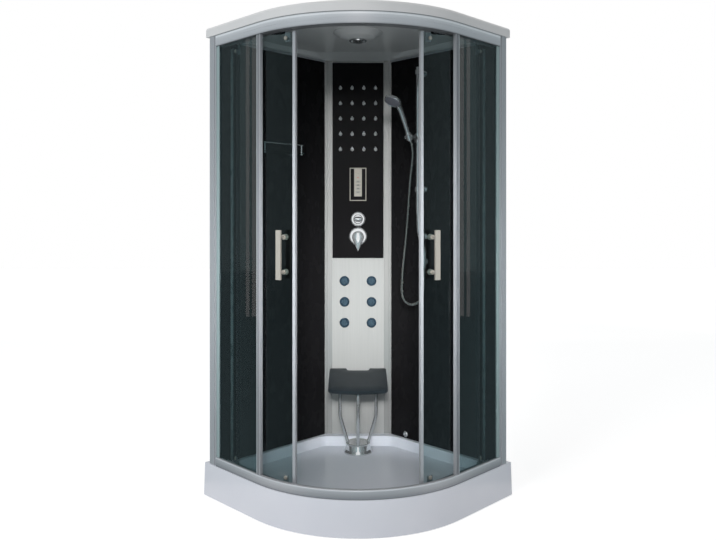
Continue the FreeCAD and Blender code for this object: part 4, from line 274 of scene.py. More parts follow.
# %% Sheets and mouldings
tray_white, tree, shader = new_finish(
    "tray_acrylic", "dfe2eb", 0.3, IOR=1.49, Coat_Weight=0.25, Coat_Roughness=0.1)
raise_bump(tree, shader, streaks(tree, 0.09, 1.0), 0.0012, 0.12)
vary_colour(tree, shader, streaks(tree, 0.2), "dadee8", "e4e7ef")

roof_white, tree, shader = new_finish("roof_acrylic", "d6d8da", 0.3, IOR=1.49)
vary_colour(tree, shader, streaks(tree, 0.2), "d0d2d4", "dcdedf")
raise_bump(tree, shader, streaks(tree, 0.12, 1.0), 0.0012, 0.12)

wall_black, tree, shader = new_finish(
    "black_wall_acrylic", "171719", 0.26, IOR=1.49, Specular_IOR_Level=0.08)
raise_bump(tree, shader, streaks(tree, (0.18, 0.18, 0.25), 1.0), 0.0014, 0.15)
vary_roughness(tree, shader, streaks(tree, (0.05, 0.05, 0.09)), 0.2, 0.32)
vary_colour(tree, shader, streaks(tree, (0.3, 0.3, 0.5), 1.0), "151517", "1c1b1c")

panel_black, tree, shader = new_finish(
    "black_column_glass", "121214", 0.2, IOR=1.52, Specular_IOR_Level=0.06)
vary_roughness(tree, shader, streaks(tree, (0.06, 0.06, 0.1)), 0.14, 0.26)
vary_colour(tree, shader, streaks(tree, (0.2, 0.2, 0.4), 1.0), "0e0e10", "161516")

pale_case = grained("powder_coat", "d5d5d2", 0.5, grain=0.0015, bump=0.0001)
grey_moulding = grained("grey_moulding", "6d7176", 0.45, grain=0.001, bump=0.00005)
dark_gloss = grained("dark_gloss_moulding", "1c1d20", 0.18, rough=(0.12, 0.26), IOR=1.5)
silver_moulding = grained("silver_moulding", "a3a5aa", 0.28, 0.7, rough=(0.2, 0.34))
button_grey = grained("button_rubber", "a3a29c", 0.6, grain=0.0005, bump=0.00003)
nylon = grained("roller_nylon", "8b8d8e", 0.42, grain=0.002, bump=0.00005)
seal_clear = grained("seal_strip_vinyl", "5f6d70", 0.3, grain=(0.004, 0.004, 0.05),
                     rough=(0.22, 0.4), IOR=1.5, Transmission_Weight=0.2)

dress(tray_white, "shower_tray")
dress(roof_white, "roof_canopy", "ceiling_dome")
dress(wall_black, "left_wall", "right_wall")
dress(panel_black, "column_glass")
dress(pale_case, "steam_generator")
dress(grey_moulding, "waste_trap", "control_unit", "fan_impeller")
dress(dark_gloss, "ceiling_rims")
dress(silver_moulding, "ceiling_grilles")
dress(button_grey, *[f"button_{index}" for index in (1, 2, 3, 4)])
dress(nylon, *[name for name in NODES if name.endswith("_wheel")])
dress(seal_clear, "right_door_seal", "left_door_seal")

# %% [markdown]
# ## Glass
#
# The doors and side panes are 5 mm smoked safety glass. A pane refracts, but for
# shadows the renderer treats solid glass as opaque, which would leave the cabin
# dark. A transparent shader takes over for shadow rays only, in the glass's tint,
# so lamps light the inside through the panes as they do in a bathroom. The tint
# drifts a little from place to place, as in real smoked glass.

# %% Glass
def glass_finish(name, code, light_code, shadow_code):
    """Clear or tinted glass that lets light through onto what stands behind it."""
    material, tree, shader = new_finish(
        name, code, 0.0, IOR=1.35, Transmission_Weight=1.0)
    vary_colour(tree, shader, streaks(tree, (0.3, 0.3, 0.8), 1.0), code, light_code)
    clear = add(tree, "ShaderNodeBsdfTransparent", {"Color": colour(shadow_code)})
    path = add(tree, "ShaderNodeLightPath")
    blend = add(tree, "ShaderNodeMixShader", {
        "Fac": path.outputs["Is Shadow Ray"], 1: shader.outputs["BSDF"],
        2: clear.outputs["BSDF"]})
    output = tree.nodes["Material Output"]
    tree.links.new(blend.outputs["Shader"], output.inputs["Surface"])
    return material


smoked_glass = glass_finish("smoked_safety_glass", "c3d1d2", "c9d7d8", "dde4e4")
clear_glass = glass_finish("clear_shelf_glass", "dfece8", "e5f2ee", "e8efed")
dress(smoked_glass, "fixed_glass", "right_door_pane", "left_door_pane")
dress(clear_glass, "shelf_glass")

# %% [markdown]
# ## Hose
#
# A hand shower's hose is a brass spiral round a rubber tube, so it shows fine
# rings all along. Its line is a smooth NURBS spline through the same points as the
# CAD tube. Geometry Nodes resample that line, swell and shrink its radius once per
# ring, and sweep a circle along it.

# %% Hose
HOSE_POINTS = [
    (0.2585, 0.1131, 1.6502), (0.2720, 0.1266, 1.6128), (0.2680, 0.1253, 1.5450),
    (0.2554, 0.1198, 1.4400), (0.2465, 0.1198, 1.2900), (0.2330, 0.1208, 1.1300),
    (0.2185, 0.1228, 0.9850), (0.2170, 0.1248, 0.8670), (0.2725, 0.1493, 0.8320),
    (0.3280, 0.1738, 0.8670), (0.3309, 0.1763, 0.9480), (0.3309, 0.1763, 1.0230)]
HOSE_DIAMETER = 0.014
RING_PITCH = 0.0034
RING_DEPTH = 0.07       # share of the radius by which it swells and shrinks
STEPS_PER_RING = 6.0
HOSE_SIDES = 14


def new_piece(name, data):
    """An object with the given data, linked into the scene."""
    piece = bpy.data.objects.new(name, data)
    bpy.context.scene.collection.objects.link(piece)
    return piece


def spline_object(name, points):
    """A NURBS curve with the given control points that reaches both its ends."""
    data = bpy.data.curves.new(name, "CURVE")
    data.dimensions = "3D"
    data.resolution_u = 24
    spline = data.splines.new("NURBS")
    spline.points.add(len(points) - 1)
    for point, place in zip(spline.points, points):
        point.co = (*place, 1.0)
    spline.order_u = 3
    spline.use_endpoint_u = True
    return new_piece(name, data)


def evaluated_mesh(piece):
    """The shape of an object after its modifiers, as a new mesh."""
    graph = bpy.context.evaluated_depsgraph_get()
    return bpy.data.meshes.new_from_object(piece.evaluated_get(graph))


def plain_mesh(piece, name):
    """Replaces an object by one with its evaluated shape as a plain, smooth mesh."""
    mesh = evaluated_mesh(piece)
    result = new_piece(name, mesh)
    bpy.data.objects.remove(piece)
    mesh.name = name
    for face in mesh.polygons:
        face.use_smooth = True
    return result


def new_tree(name, **sockets):
    """A Geometry Nodes tree with a geometry in and out; sockets names further inputs."""
    tree = bpy.data.node_groups.new(name, "GeometryNodeTree")
    face = tree.interface
    face.new_socket("Geometry", in_out="INPUT", socket_type="NodeSocketGeometry")
    for label, kind in sockets.items():
        face.new_socket(label, in_out="INPUT", socket_type=f"NodeSocket{kind}")
    face.new_socket("Geometry", in_out="OUTPUT", socket_type="NodeSocketGeometry")
    entry = tree.nodes.new("NodeGroupInput")
    leave = tree.nodes.new("NodeGroupOutput")
    return tree, entry, leave


def apply_tree(piece, tree, **values):
    """Puts the tree on an object and sets its inputs by their identifiers."""
    modifier = piece.modifiers.new(tree.name, "NODES")
    modifier.node_group = tree
    for item in tree.interface.items_tree:
        if item.in_out == "INPUT" and item.name in values:
            modifier[item.identifier] = values[item.name]


def hand_out(tree, entry, leave, geometry):
    """Gives the geometry the finish that came in, and ends the tree with it."""
    paint = add(tree, "GeometryNodeSetMaterial", {
        "Geometry": geometry, "Material": entry.outputs["Finish"]})
    tree.links.new(paint.outputs["Geometry"], leave.inputs["Geometry"])


hose_metal = grained("spiral_hose_chrome", "cfcfca", 0.2, 1.0, 0.02, rough=(0.14, 0.28))

hose_tree, entry, leave = new_tree(
    "ringed_hose", Radius="Float", Pitch="Float", Finish="Material")
step = calculate(hose_tree, "DIVIDE", entry.outputs["Pitch"], STEPS_PER_RING)
resample = add(hose_tree, "GeometryNodeResampleCurve", {
    "Curve": entry.outputs["Geometry"], "Length": step}, mode="LENGTH")
along = add(hose_tree, "GeometryNodeSplineParameter")
turns = calculate(hose_tree, "DIVIDE", along.outputs["Length"], entry.outputs["Pitch"])
wave = calculate(hose_tree, "COSINE", calculate(hose_tree, "MULTIPLY", turns, 2 * math.pi))
swell = calculate(hose_tree, "MULTIPLY_ADD", wave, RING_DEPTH, 1 - RING_DEPTH)
scale = calculate(hose_tree, "MULTIPLY", swell, entry.outputs["Radius"])
ring = add(hose_tree, "GeometryNodeCurvePrimitiveCircle", {
    "Resolution": HOSE_SIDES, "Radius": 1.0})
sweep = add(hose_tree, "GeometryNodeCurveToMesh", {
    "Curve": resample.outputs["Curve"], "Profile Curve": ring.outputs["Curve"],
    "Scale": scale, "Fill Caps": True})
hand_out(hose_tree, entry, leave, sweep.outputs["Mesh"])

hose_line = spline_object("hose_line", HOSE_POINTS)
hose_path = [vertex.co.copy() for vertex in evaluated_mesh(hose_line).vertices]
apply_tree(hose_line, hose_tree, Radius=HOSE_DIAMETER / 2, Pitch=RING_PITCH,
           Finish=hose_metal)
hose = plain_mesh(hose_line, "spiral_hose")
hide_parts("shower_hose")
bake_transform(hose)

# %% [markdown]
# ## Seat pad
#
# The stool's seat is a foam pad under a dark skin, with a seam round its side. It
# is lofted from rings that share one outline, which gives the side its seam and its
# soft edge. A grid stretched inside the last ring then makes the crowned top: rings
# alone would cross each other at the notch in the rear edge.

# %% Seat pad
SEAT_WIDTH, SEAT_LENGTH, SEAT_THICKNESS = 0.294, 0.280, 0.020
SEAT_BOW, NOTCH_WIDTH, NOTCH_DEPTH = 0.016, 0.115, 0.026
SEAT_PLACE = (0.0, 0.2028, 0.457)
SEAT_TILT = math.radians(11.5)


def rounded_outline(corners, steps=6):
    """Points of a closed outline; each corner is (x, y, rounding radius)."""
    points = []
    count = len(corners)
    for index, (x, y, radius) in enumerate(corners):
        corner = Vector((x, y))
        before = (Vector(corners[index - 1][:2]) - corner).normalized()
        after = (Vector(corners[(index + 1) % count][:2]) - corner).normalized()
        half = before.angle(after) / 2
        reach = radius / math.tan(half)
        centre = corner + (before + after).normalized() * (radius / math.sin(half))
        start = corner + before * reach - centre
        end = corner + after * reach - centre
        for step in range(steps + 1):
            share = step / steps
            spoke = start.lerp(end, share).normalized() * radius
            points.append(centre + spoke)
    return points


half_width, half_length = SEAT_WIDTH / 2, SEAT_LENGTH / 2
notch = NOTCH_WIDTH / 2
seat_corners = [
    (-half_width, -half_length + SEAT_BOW, 0.026), (0, -half_length - SEAT_BOW / 2, 0.6),
    (half_width, -half_length + SEAT_BOW, 0.026), (half_width, half_length, 0.012),
    (notch, half_length, 0.008), (notch, half_length - NOTCH_DEPTH, 0.010),
    (-notch, half_length - NOTCH_DEPTH, 0.010), (-notch, half_length, 0.008),
    (-half_width, half_length, 0.012)]
outline = rounded_outline(seat_corners)

# (inset, height) of each ring, from the underside to the upper edge of the side
SEAT_RINGS = [
    (0.006, -SEAT_THICKNESS), (0.002, -SEAT_THICKNESS + 0.001), (0.0, -0.0165), (0.0, -0.0085),
    (0.0012, -0.0075), (0.0, -0.0065), (0.0004, -0.0035), (0.0018, -0.001), (0.0042, 0.0),
    (0.0058, 0.0002)]
FRONT_STEPS, SIDE_STEPS = 60, 50


def spaced(points, start, stop, steps):
    """Evenly spaced points from one corner of a closed outline on to another."""
    count = len(points)
    run = [points[(start + i) % count] for i in range((stop - start) % count + 1)]
    lengths = [0.0]
    for a, b in zip(run, run[1:]):
        lengths.append(lengths[-1] + (b - a).length)
    result, leg = [], 0
    for step in range(steps):
        target = lengths[-1] * step / steps
        while lengths[leg + 1] < target:
            leg += 1
        share = (target - lengths[leg]) / (lengths[leg + 1] - lengths[leg])
        result.append(run[leg].lerp(run[leg + 1], share))
    return result


def inset_outline(points, distance):
    """The outline moved inwards by a distance, along each point's own normal."""
    count = len(points)
    moved = []
    for index, point in enumerate(points):
        tangent = (points[(index + 1) % count] - points[index - 1]).normalized()
        moved.append(point + Vector((-tangent.y, tangent.x)) * distance)
    return moved


def mesh_from(maker, name):
    """A mesh from the maker's faces, all looking outwards."""
    bmesh.ops.recalc_face_normals(maker, faces=maker.faces)
    mesh = bpy.data.meshes.new(name)
    maker.to_mesh(mesh)
    maker.free()
    return mesh


def lofted(name, rings, top=True):
    """A mesh through rings with the same number of points, closed at its ends."""
    maker = bmesh.new()
    loops = [[maker.verts.new(point) for point in ring] for ring in rings]
    count = len(rings[0])
    for low, high in zip(loops, loops[1:]):
        for index in range(count):
            after = (index + 1) % count
            maker.faces.new((low[index], low[after], high[after], high[index]))
    maker.faces.new(list(reversed(loops[0])))
    if top:
        maker.faces.new(loops[-1])
    piece = new_piece(name, mesh_from(maker, name))
    piece.data.shade_smooth()
    return piece


def corner_index(points, x, y):
    """Index of the outline's point nearest to a corner."""
    return min(range(len(points)), key=lambda i: (points[i] - Vector((x, y))).length)


marks = [corner_index(outline, x * half_width, y * half_length)
         for x, y in ((-1, -1), (1, -1), (1, 1), (-1, 1))]
steps = [FRONT_STEPS, SIDE_STEPS, FRONT_STEPS, SIDE_STEPS]
even = []
for side in range(4):
    even += spaced(outline, marks[side], marks[(side + 1) % 4], steps[side])
rings = [[(p.x, p.y, height) for p in inset_outline(even, inset)]
         for inset, height in SEAT_RINGS]
pad = lofted("seat_pad", rings, top=False)

# The crown is a grid stretched between the four sides of the last ring. Each point
# is a blend of the points across from it, and rises with its distance from the edge.
CROWN_RISE, SHOULDER = 0.0045, 0.045
edge = [Vector(point) for point in rings[-1]]
front = edge[:FRONT_STEPS + 1]
right = edge[FRONT_STEPS:FRONT_STEPS + SIDE_STEPS + 1]
rear = edge[FRONT_STEPS + SIDE_STEPS:2 * FRONT_STEPS + SIDE_STEPS + 1][::-1]
left = (edge[2 * FRONT_STEPS + SIDE_STEPS:] + edge[:1])[::-1]


def crown_point(column, row):
    """A point of the crown's grid, in shares of the two directions."""
    u, v = column / FRONT_STEPS, row / SIDE_STEPS
    across = left[row].lerp(right[row], u)
    along = front[column].lerp(rear[column], v)
    corner_blend = front[0].lerp(front[-1], u).lerp(rear[0].lerp(rear[-1], u), v)
    place = across + along - corner_blend
    gap = min((place - point).length for point in edge)
    share = min(1.0, gap / SHOULDER)
    return place + Vector((0, 0, CROWN_RISE * (1 - (1 - share) ** 2)))


maker = bmesh.new()
maker.from_mesh(pad.data)
grid = [[maker.verts.new(crown_point(column, row)) for column in range(FRONT_STEPS + 1)]
        for row in range(SIDE_STEPS + 1)]
for low, high in zip(grid, grid[1:]):
    for column in range(FRONT_STEPS):
        maker.faces.new((low[column], low[column + 1], high[column + 1], high[column]))
bmesh.ops.remove_doubles(maker, verts=maker.verts, dist=0.00001)
bmesh.ops.recalc_face_normals(maker, faces=maker.faces)
for face in maker.faces:
    face.smooth = True
maker.to_mesh(pad.data)
maker.free()
pad.data.transform(Matrix.Translation(SEAT_PLACE) @ Matrix.Rotation(SEAT_TILT, 4, "X"))

pad_skin, tree, shader = new_finish(
    "slate_pad_skin", "22292d", 0.5, Specular_IOR_Level=0.25, Sheen_Weight=0.05)
raise_bump(tree, shader, streaks(tree, 0.0012, 3.0), 0.00025, 0.35)
vary_colour(tree, shader, streaks(tree, 0.05), "1b2125", "272f34")
pad.data.materials.append(pad_skin)
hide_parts("stool_seat")
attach(pad, "cabin")
print("seat pad", len(pad.data.polygons), "faces")

# %% [markdown]
# ## Silver column
#
# The column is one folded sheet. Its two sides are polished bands, and between them
# the sheet has a satin face that is brushed upright. One material does both: a mask
# made from the distance to the middle moves the metallic and roughness sockets.

# %% Column sheet
BAND_START = 0.136      # middle of the column to the polished bands
FACE_METALLIC, BAND_METALLIC = 0.15, 0.45
FACE_ROUGHNESS, BAND_ROUGHNESS = (0.36, 0.52), 0.2

silver_sheet, tree, shader = new_finish("brushed_column_sheet", "aeaead", 0.4, FACE_METALLIC)
place = add(tree, "ShaderNodeTexCoord")
axes = add(tree, "ShaderNodeSeparateXYZ", {"Vector": place.outputs["Object"]})
band = calculate(tree, "GREATER_THAN", calculate(tree, "ABSOLUTE", axes.outputs["X"]),
                 BAND_START)
brush = streaks(tree, (0.0007, 0.0007, 0.25))
rough = add(tree, "ShaderNodeMix", {
    "Factor": band, "A": spread(tree, brush, *FACE_ROUGHNESS), "B": BAND_ROUGHNESS})
tree.links.new(rough.outputs["Result"], shader.inputs["Roughness"])
metal = add(tree, "ShaderNodeMapRange", {
    "Value": band, "To Min": FACE_METALLIC, "To Max": BAND_METALLIC})
tree.links.new(metal.outputs["Result"], shader.inputs["Metallic"])
vary_colour(tree, shader, brush, "979897", "b9b9b7")
raise_bump(tree, shader, brush, 0.00005, 0.4)
dress(silver_sheet, "column_panel")
print("column sheet bands start at", BAND_START)

# %% [markdown]
# ## Waterfall nozzles
#
# Each nozzle is a small drop with its point up. One drop is lofted from rings of the
# same outline, and Geometry Nodes put it on a grid of points, so the four columns
# and five rows follow from their two pitches.

# %% Nozzles
GLASS_FACE = 0.35277             # y of the black panel's face
DROP_RADIUS, DROP_POINT, DROP_RISE = 0.009, 0.016, 0.0075
# Rings of the dome, as (share of the outline, share of the rise)
DROP_DOME = [(1.0, 0.0), (1.0, 0.25), (0.94, 0.55), (0.8, 0.8), (0.55, 0.95), (0.2, 1.0)]
NOZZLE_PITCH = (0.0615, 0.0805)
NOZZLE_MIDDLE = 1.791            # height of the middle row


def polar(radius, angle):
    """The two coordinates of a point at an angle on a circle."""
    return radius * math.cos(angle), radius * math.sin(angle)


def drop_outline(radius, point, steps=14):
    """Outline of a drop with its point up, in the X-Z plane."""
    turn = math.asin(radius / point)
    sweep = math.pi + 2 * turn
    spots = [(0.0, point)]
    for step in range(steps + 1):
        spots.append(polar(radius, math.pi - turn + sweep * step / steps))
    return spots


def copies_on(tree, points, instance):
    """Real copies of one geometry on every point of another."""
    copies = add(tree, "GeometryNodeInstanceOnPoints", {"Points": points, "Instance": instance})
    real = add(tree, "GeometryNodeRealizeInstances", {"Geometry": copies.outputs["Instances"]})
    return real.outputs["Geometry"]


grid_tree, entry, leave = new_tree("grid_of_pieces", Columns="Int", Rows="Int",
                                   Width="Float", Height="Float", Finish="Material")
grid = add(grid_tree, "GeometryNodeMeshGrid", {
    "Size X": entry.outputs["Width"], "Size Y": entry.outputs["Height"],
    "Vertices X": entry.outputs["Columns"], "Vertices Y": entry.outputs["Rows"]})
upright = add(grid_tree, "GeometryNodeTransform", {
    "Geometry": grid.outputs["Mesh"], "Rotation": (math.radians(90), 0, 0)})
hand_out(grid_tree, entry, leave,
         copies_on(grid_tree, upright.outputs["Geometry"], entry.outputs["Geometry"]))


def grid_piece(source, name, columns, rows, pitch, finish, middle):
    """A plain mesh of copies of the source on an upright grid round a middle point."""
    apply_tree(source, grid_tree, Columns=columns, Rows=rows, Width=(columns - 1) * pitch[0],
               Height=(rows - 1) * pitch[1], Finish=finish)
    piece = plain_mesh(source, name)
    piece.data.transform(Matrix.Translation(middle))
    return piece


nozzle_silver = grained("nozzle_satin_silver", "d4d5d6", 0.25, 0.6, 0.003, rough=(0.18, 0.34))
drop = lofted("nozzle_drop", [
    [(x * share, -DROP_RISE * lift, z * share) for x, z in drop_outline(DROP_RADIUS, DROP_POINT)]
    for share, lift in DROP_DOME])
nozzles = grid_piece(drop, "nozzle_drops", 4, 5, NOZZLE_PITCH, nozzle_silver,
                     (0, GLASS_FACE, NOZZLE_MIDDLE))
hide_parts("waterfall_nozzles")
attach(nozzles, "cabin")
print("nozzles", len(nozzles.data.polygons), "faces")

# %% [markdown]
# ## Body jets
#
# A jet has a dark rim, and a softer rubber middle with a nub that sprays. Both are
# turned shapes: a profile is spun round an axis, as on a lathe, and its ends on the
# axis are closed by a small fan of faces.

# %% Jets
def spun(name, profile, sides=40):
    """A turned mesh about -Y: the profile holds (radius, height towards the user)."""
    maker = bmesh.new()
    rings = []
    for radius, height in profile:
        spots = [polar(radius, 2 * math.pi * side / sides) for side in range(sides)]
        if radius == 0:
            spots = spots[:1]
        rings.append([maker.verts.new((x, -height, z)) for x, z in spots])
    for low, high in zip(rings, rings[1:]):
        for side in range(sides):
            after = (side + 1) % sides
            corners = [low[side % len(low)], low[after % len(low)],
                       high[after % len(high)], high[side % len(high)]]
            corners = list(dict.fromkeys(corners))
            if len(corners) > 2:
                maker.faces.new(corners)
    mesh = mesh_from(maker, name)
    mesh.shade_smooth()
    mesh.set_sharp_from_angle(angle=math.radians(40))
    return new_piece(name, mesh)


COLUMN_FACE = 0.35877            # y of the silver sheet's face
JET_PITCH = (0.142, 0.110)
JET_MIDDLE = (0, COLUMN_FACE, 0.829)

rim_blue = grained("jet_rim_moulding", "2c3d4a", 0.25, grain=0.004, rough=(0.2, 0.32))
rubber = grained("jet_rubber", "3a4c58", 0.5, grain=0.001, bump=0.0001)
rim = spun("jet_rim", [
    (0, 0), (0.0255, 0), (0.026, 0.002), (0.0255, 0.005), (0.0235, 0.0085), (0.021, 0.0104),
    (0.0185, 0.0108), (0.0165, 0.0096), (0.0158, 0.006), (0, 0.006)])
core = spun("jet_core", [
    (0, 0.0055), (0.0156, 0.0055), (0.0152, 0.0085), (0.0135, 0.0098), (0.0105, 0.0094),
    (0.0085, 0.0088), (0.0068, 0.0098), (0.006, 0.0118), (0.0045, 0.0126), (0.0028, 0.0124),
    (0.0024, 0.010), (0, 0.010)])
rims = grid_piece(rim, "jet_rims", 2, 3, JET_PITCH, rim_blue, JET_MIDDLE)
cores = grid_piece(core, "jet_cores", 2, 3, JET_PITCH, rubber, JET_MIDDLE)
for piece in (rims, cores):
    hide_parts("body_jets")
    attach(piece, "cabin")
print("jets", len(rims.data.polygons) + len(cores.data.polygons), "faces")

# %% [markdown]
# ## Mixer lever and diverter
#
# The mixer's lever is a wide chrome drop, round above and pointed below. It mirrors
# the room like the back of a spoon, so it has many rings across its dome. The
# diverter's round-ended recess is a thin dark pill of painted shade, with a bright
# grip bar in it.

# %% Mixer lever and diverter
MIXER_HEIGHT, DIVERTER_HEIGHT = 1.174, 1.264
LEVER_BASE = 0.0306              # glass face to the lever's underside
LEVER_RISE = 0.014
LEVER_RADIUS, LEVER_POINT = 0.031, 0.074
LEVER_DROP = 0.004               # mixer's axis down to the middle of the lever's round
LEVER_DOME = [(0.95, 0.0), (1.0, 0.1), (1.0, 0.24), (0.97, 0.42), (0.9, 0.6),
              (0.78, 0.76), (0.62, 0.88), (0.42, 0.96), (0.2, 0.995), (0.06, 1.0)]

lever = lofted("lever_blade", [
    [(x * share, -LEVER_BASE - LEVER_RISE * lift, -z * share - LEVER_DROP)
     for x, z in drop_outline(LEVER_RADIUS, LEVER_POINT, 30)] for share, lift in LEVER_DOME])
lever.data.transform(Matrix.Translation((0, GLASS_FACE, MIXER_HEIGHT)))
lever.data.materials.append(chrome)
post = spun("lever_post", [
    (0, 0.013), (0.0042, 0.013), (0.0042, 0.032), (0, 0.032)], 24)
post.data.transform(Matrix.Translation((0, GLASS_FACE, MIXER_HEIGHT)))
post.data.materials.append(chrome)
for piece in (lever, post):
    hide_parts("mixer_lever")
    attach(piece, "mixer_lever")

KNOB_FACE = 0.026                # glass face to the diverter knob's front


def pill(name, length, width, low, high, edge):
    """An upright-edged, round-ended bar that lies across the knob."""
    rings = []
    for inset, level in ((0.0, low), (0.0, high - edge), (edge * 0.3, high - edge * 0.3),
                         (edge, high)):
        half, radius = (length - width) / 2, width / 2 - inset
        ring = []
        for centre, turn in ((half, -math.pi / 2), (-half, math.pi / 2)):
            for step in range(17):
                x, z = polar(radius, turn + math.pi * step / 16)
                ring.append((centre + x, -level, z))
        rings.append(ring)
    return lofted(name, rings)


# A thin dark pill on the knob's face: painted shade for the knob's recess.
shade_pill = pill("painted_shade_pill", 0.042, 0.026, KNOB_FACE, KNOB_FACE + 0.0006, 0.0004)
grip = pill("grip_bar", 0.034, 0.012, KNOB_FACE, KNOB_FACE + 0.0058, 0.002)
for piece, finish in ((shade_pill, panel_black), (grip, chrome)):
    piece.data.transform(Matrix.Translation((0, GLASS_FACE, DIVERTER_HEIGHT)))
    piece.data.materials.append(finish)
    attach(piece, "diverter_knob")
print("lever", len(lever.data.polygons), "faces")

# %% [markdown]
# ## Keypad marks and lamp
#
# The keypad strip is a satin beige-silver plate with a red lamp and small dark marks
# on its buttons. The marks are plain signs: a ring with a bar, three bars, a drop
# and a dot in a ring. Each is a flat outline given a very small thickness.

# %% Keypad marks
KEYPAD_FACE = GLASS_FACE - 0.003
BUTTON_FACE = GLASS_FACE - 0.0042
BUTTON_LEVELS = [1.461, 1.4426, 1.4242, 1.4058]
DOTS_LEVEL, LENS_LEVEL = 1.505, 1.482

keypad_metal = grained("keypad_plate", "b9b3a8", 0.38, 0.5, (0.0006, 0.0006, 0.03),
                       rough=(0.3, 0.45))
dress(keypad_metal, "control_panel")
ink = grained("printed_mark", "2a2a2c", 0.6, grain=0.001, rough=(0.5, 0.7))


def flat_mark(name, loops, face_y, level, body):
    """Thin raised marks; each loop lists (x, z) corners in millimetres."""
    maker = bmesh.new()
    for loop in loops:
        front = [maker.verts.new((x / 1000, -0.00015, z / 1000)) for x, z in loop]
        back = [maker.verts.new((x / 1000, 0.0001, z / 1000)) for x, z in loop]
        maker.faces.new(front)
        maker.faces.new(list(reversed(back)))
        for index in range(len(loop)):
            after = (index + 1) % len(loop)
            maker.faces.new((front[after], front[index], back[index], back[after]))
    mesh = mesh_from(maker, name)
    mesh.transform(Matrix.Translation((0, face_y, level)))
    mesh.materials.append(ink)
    piece = new_piece(name, mesh)
    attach(piece, body)


def bar_mark(x0, z0, x1, z1):
    """Corners of a small rectangle."""
    return [(x0, z0), (x1, z0), (x1, z1), (x0, z1)]


def ring_mark(radius, width, start, end, steps=12):
    """Corners of an arc-shaped band, as quads."""
    quads = []
    for step in range(steps):
        a = math.radians(start + (end - start) * step / steps)
        b = math.radians(start + (end - start) * (step + 1) / steps)
        inner = radius - width
        quads.append([polar(inner, a), polar(radius, a), polar(radius, b), polar(inner, b)])
    return quads


marks = [
    ring_mark(3.8, 1.1, 120, 420) + [bar_mark(-0.6, 1.0, 0.6, 4.6)],
    [bar_mark(-4 + 3.2 * index, -3, -2.2 + 3.2 * index, 3) for index in range(3)],
    [[(x * 1000, z * 1000) for x, z in drop_outline(0.0028, 0.005)]],
    ring_mark(3.0, 0.8, 0, 360) + ring_mark(1.0, 0.9, 0, 360)]
for index, (loops, level) in enumerate(zip(marks, BUTTON_LEVELS), start=1):
    flat_mark(f"button_mark_{index}", loops, BUTTON_FACE, level, f"button_{index}")
small_dots = [bar_mark(-6 + 2.4 * index, -0.5, -5 + 2.4 * index, 0.5) for index in range(6)]
flat_mark("keypad_dots", small_dots, KEYPAD_FACE, DOTS_LEVEL, "cabin")

red_lens = grained("red_lamp_lens", "c0221c", 0.15, grain=0.001, rough=(0.1, 0.2),
                   Coat_Weight=0.5, Emission_Color=colour("d02018"), Emission_Strength=0.4)
lens = spun("lamp_lens", [(0, 0), (0.0028, 0), (0.0027, 0.0009), (0.002, 0.0018), (0, 0.0023)], 20)
lens.data.transform(Matrix.Translation((0, KEYPAD_FACE, LENS_LEVEL)))
lens.data.materials.append(red_lens)
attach(lens, "cabin")
print("marks", len(marks), "and one lamp")

# %% [markdown]
# ## Hand shower
#
# The head is a chrome shell with a grey spray face, and the handle swells towards
# the head. Shell, face and nut are turned shapes, made round one axis and then
# turned into place. The handle is a curve whose points have their own radius. The
# face's rubber nubs sit on rings: a mesh of bare points carries one nub each.

# %% Hand shower
HEAD_PLACE = Vector((0.16536, 0.01993, 1.82696))      # middle of the spray face
SPRAY_WAY = Vector((-0.354, -0.354, -0.866)).normalized()
HANDLE_LINE = [(0.2447, 0.0993, 1.6885, 0.0108), (0.2345, 0.0891, 1.7170, 0.0104),
               (0.2230, 0.0776, 1.7490, 0.0112), (0.2105, 0.0651, 1.7840, 0.0124),
               (0.1990, 0.0536, 1.8100, 0.0132), (0.1790, 0.0336, 1.8330, 0.0138),
               (0.1685, 0.0231, 1.8385, 0.0120)]
HEAD_RADIUS = 0.042
NUB_RINGS = [(0.007, 6), (0.014, 12), (0.021, 18), (0.028, 24), (0.0335, 28)]
NUB_RADIUS, NUB_TIP, NUB_HEIGHT = 0.0011, 0.0006, 0.0022
NUB_LEVEL = 0.0022      # from the face's middle plane out to the points with the nubs


def aimed(piece, middle, way):
    """Turns a spun piece so that its own +Y points along a direction from a middle."""
    side = Vector((0, 0, 1)).cross(way).normalized()
    turn = Matrix((side, way, side.cross(way))).transposed().to_4x4()
    piece.data.transform(Matrix.Translation(middle) @ turn)
    return piece


face_grey = grained("spray_face_grey", "84858f", 0.45, grain=0.003, rough=(0.38, 0.52))
nub_rubber = grained("nub_rubber", "4d4f58", 0.6, grain=0.0005, bump=0.00003)

shell = aimed(spun("shower_shell", [
    (0, 0.001), (0.0365, 0.001), (0.0372, -0.001), (0.0392, -0.0022), (0.0412, -0.001),
    (HEAD_RADIUS, 0.002), (0.0418, 0.0075), (0.0402, 0.0115), (0.036, 0.0145), (0.028, 0.0175),
    (0.018, 0.0195), (0.008, 0.0204), (0, 0.0206)], 64), HEAD_PLACE, SPRAY_WAY)
shell.data.materials.append(chrome)
spray = aimed(spun("spray_face", [
    (0, 0.0015), (0.0363, 0.0015), (0.0361, -0.0008), (0.0345, -0.0016), (0.0312, -0.0018),
    (0.0306, -0.0012), (0.0302, -0.0018), (0.0178, -0.0026), (0.0174, -0.002),
    (0.017, -0.0026), (0.004, -0.003), (0, -0.003)], 64), HEAD_PLACE, SPRAY_WAY)
spray.data.materials.append(face_grey)

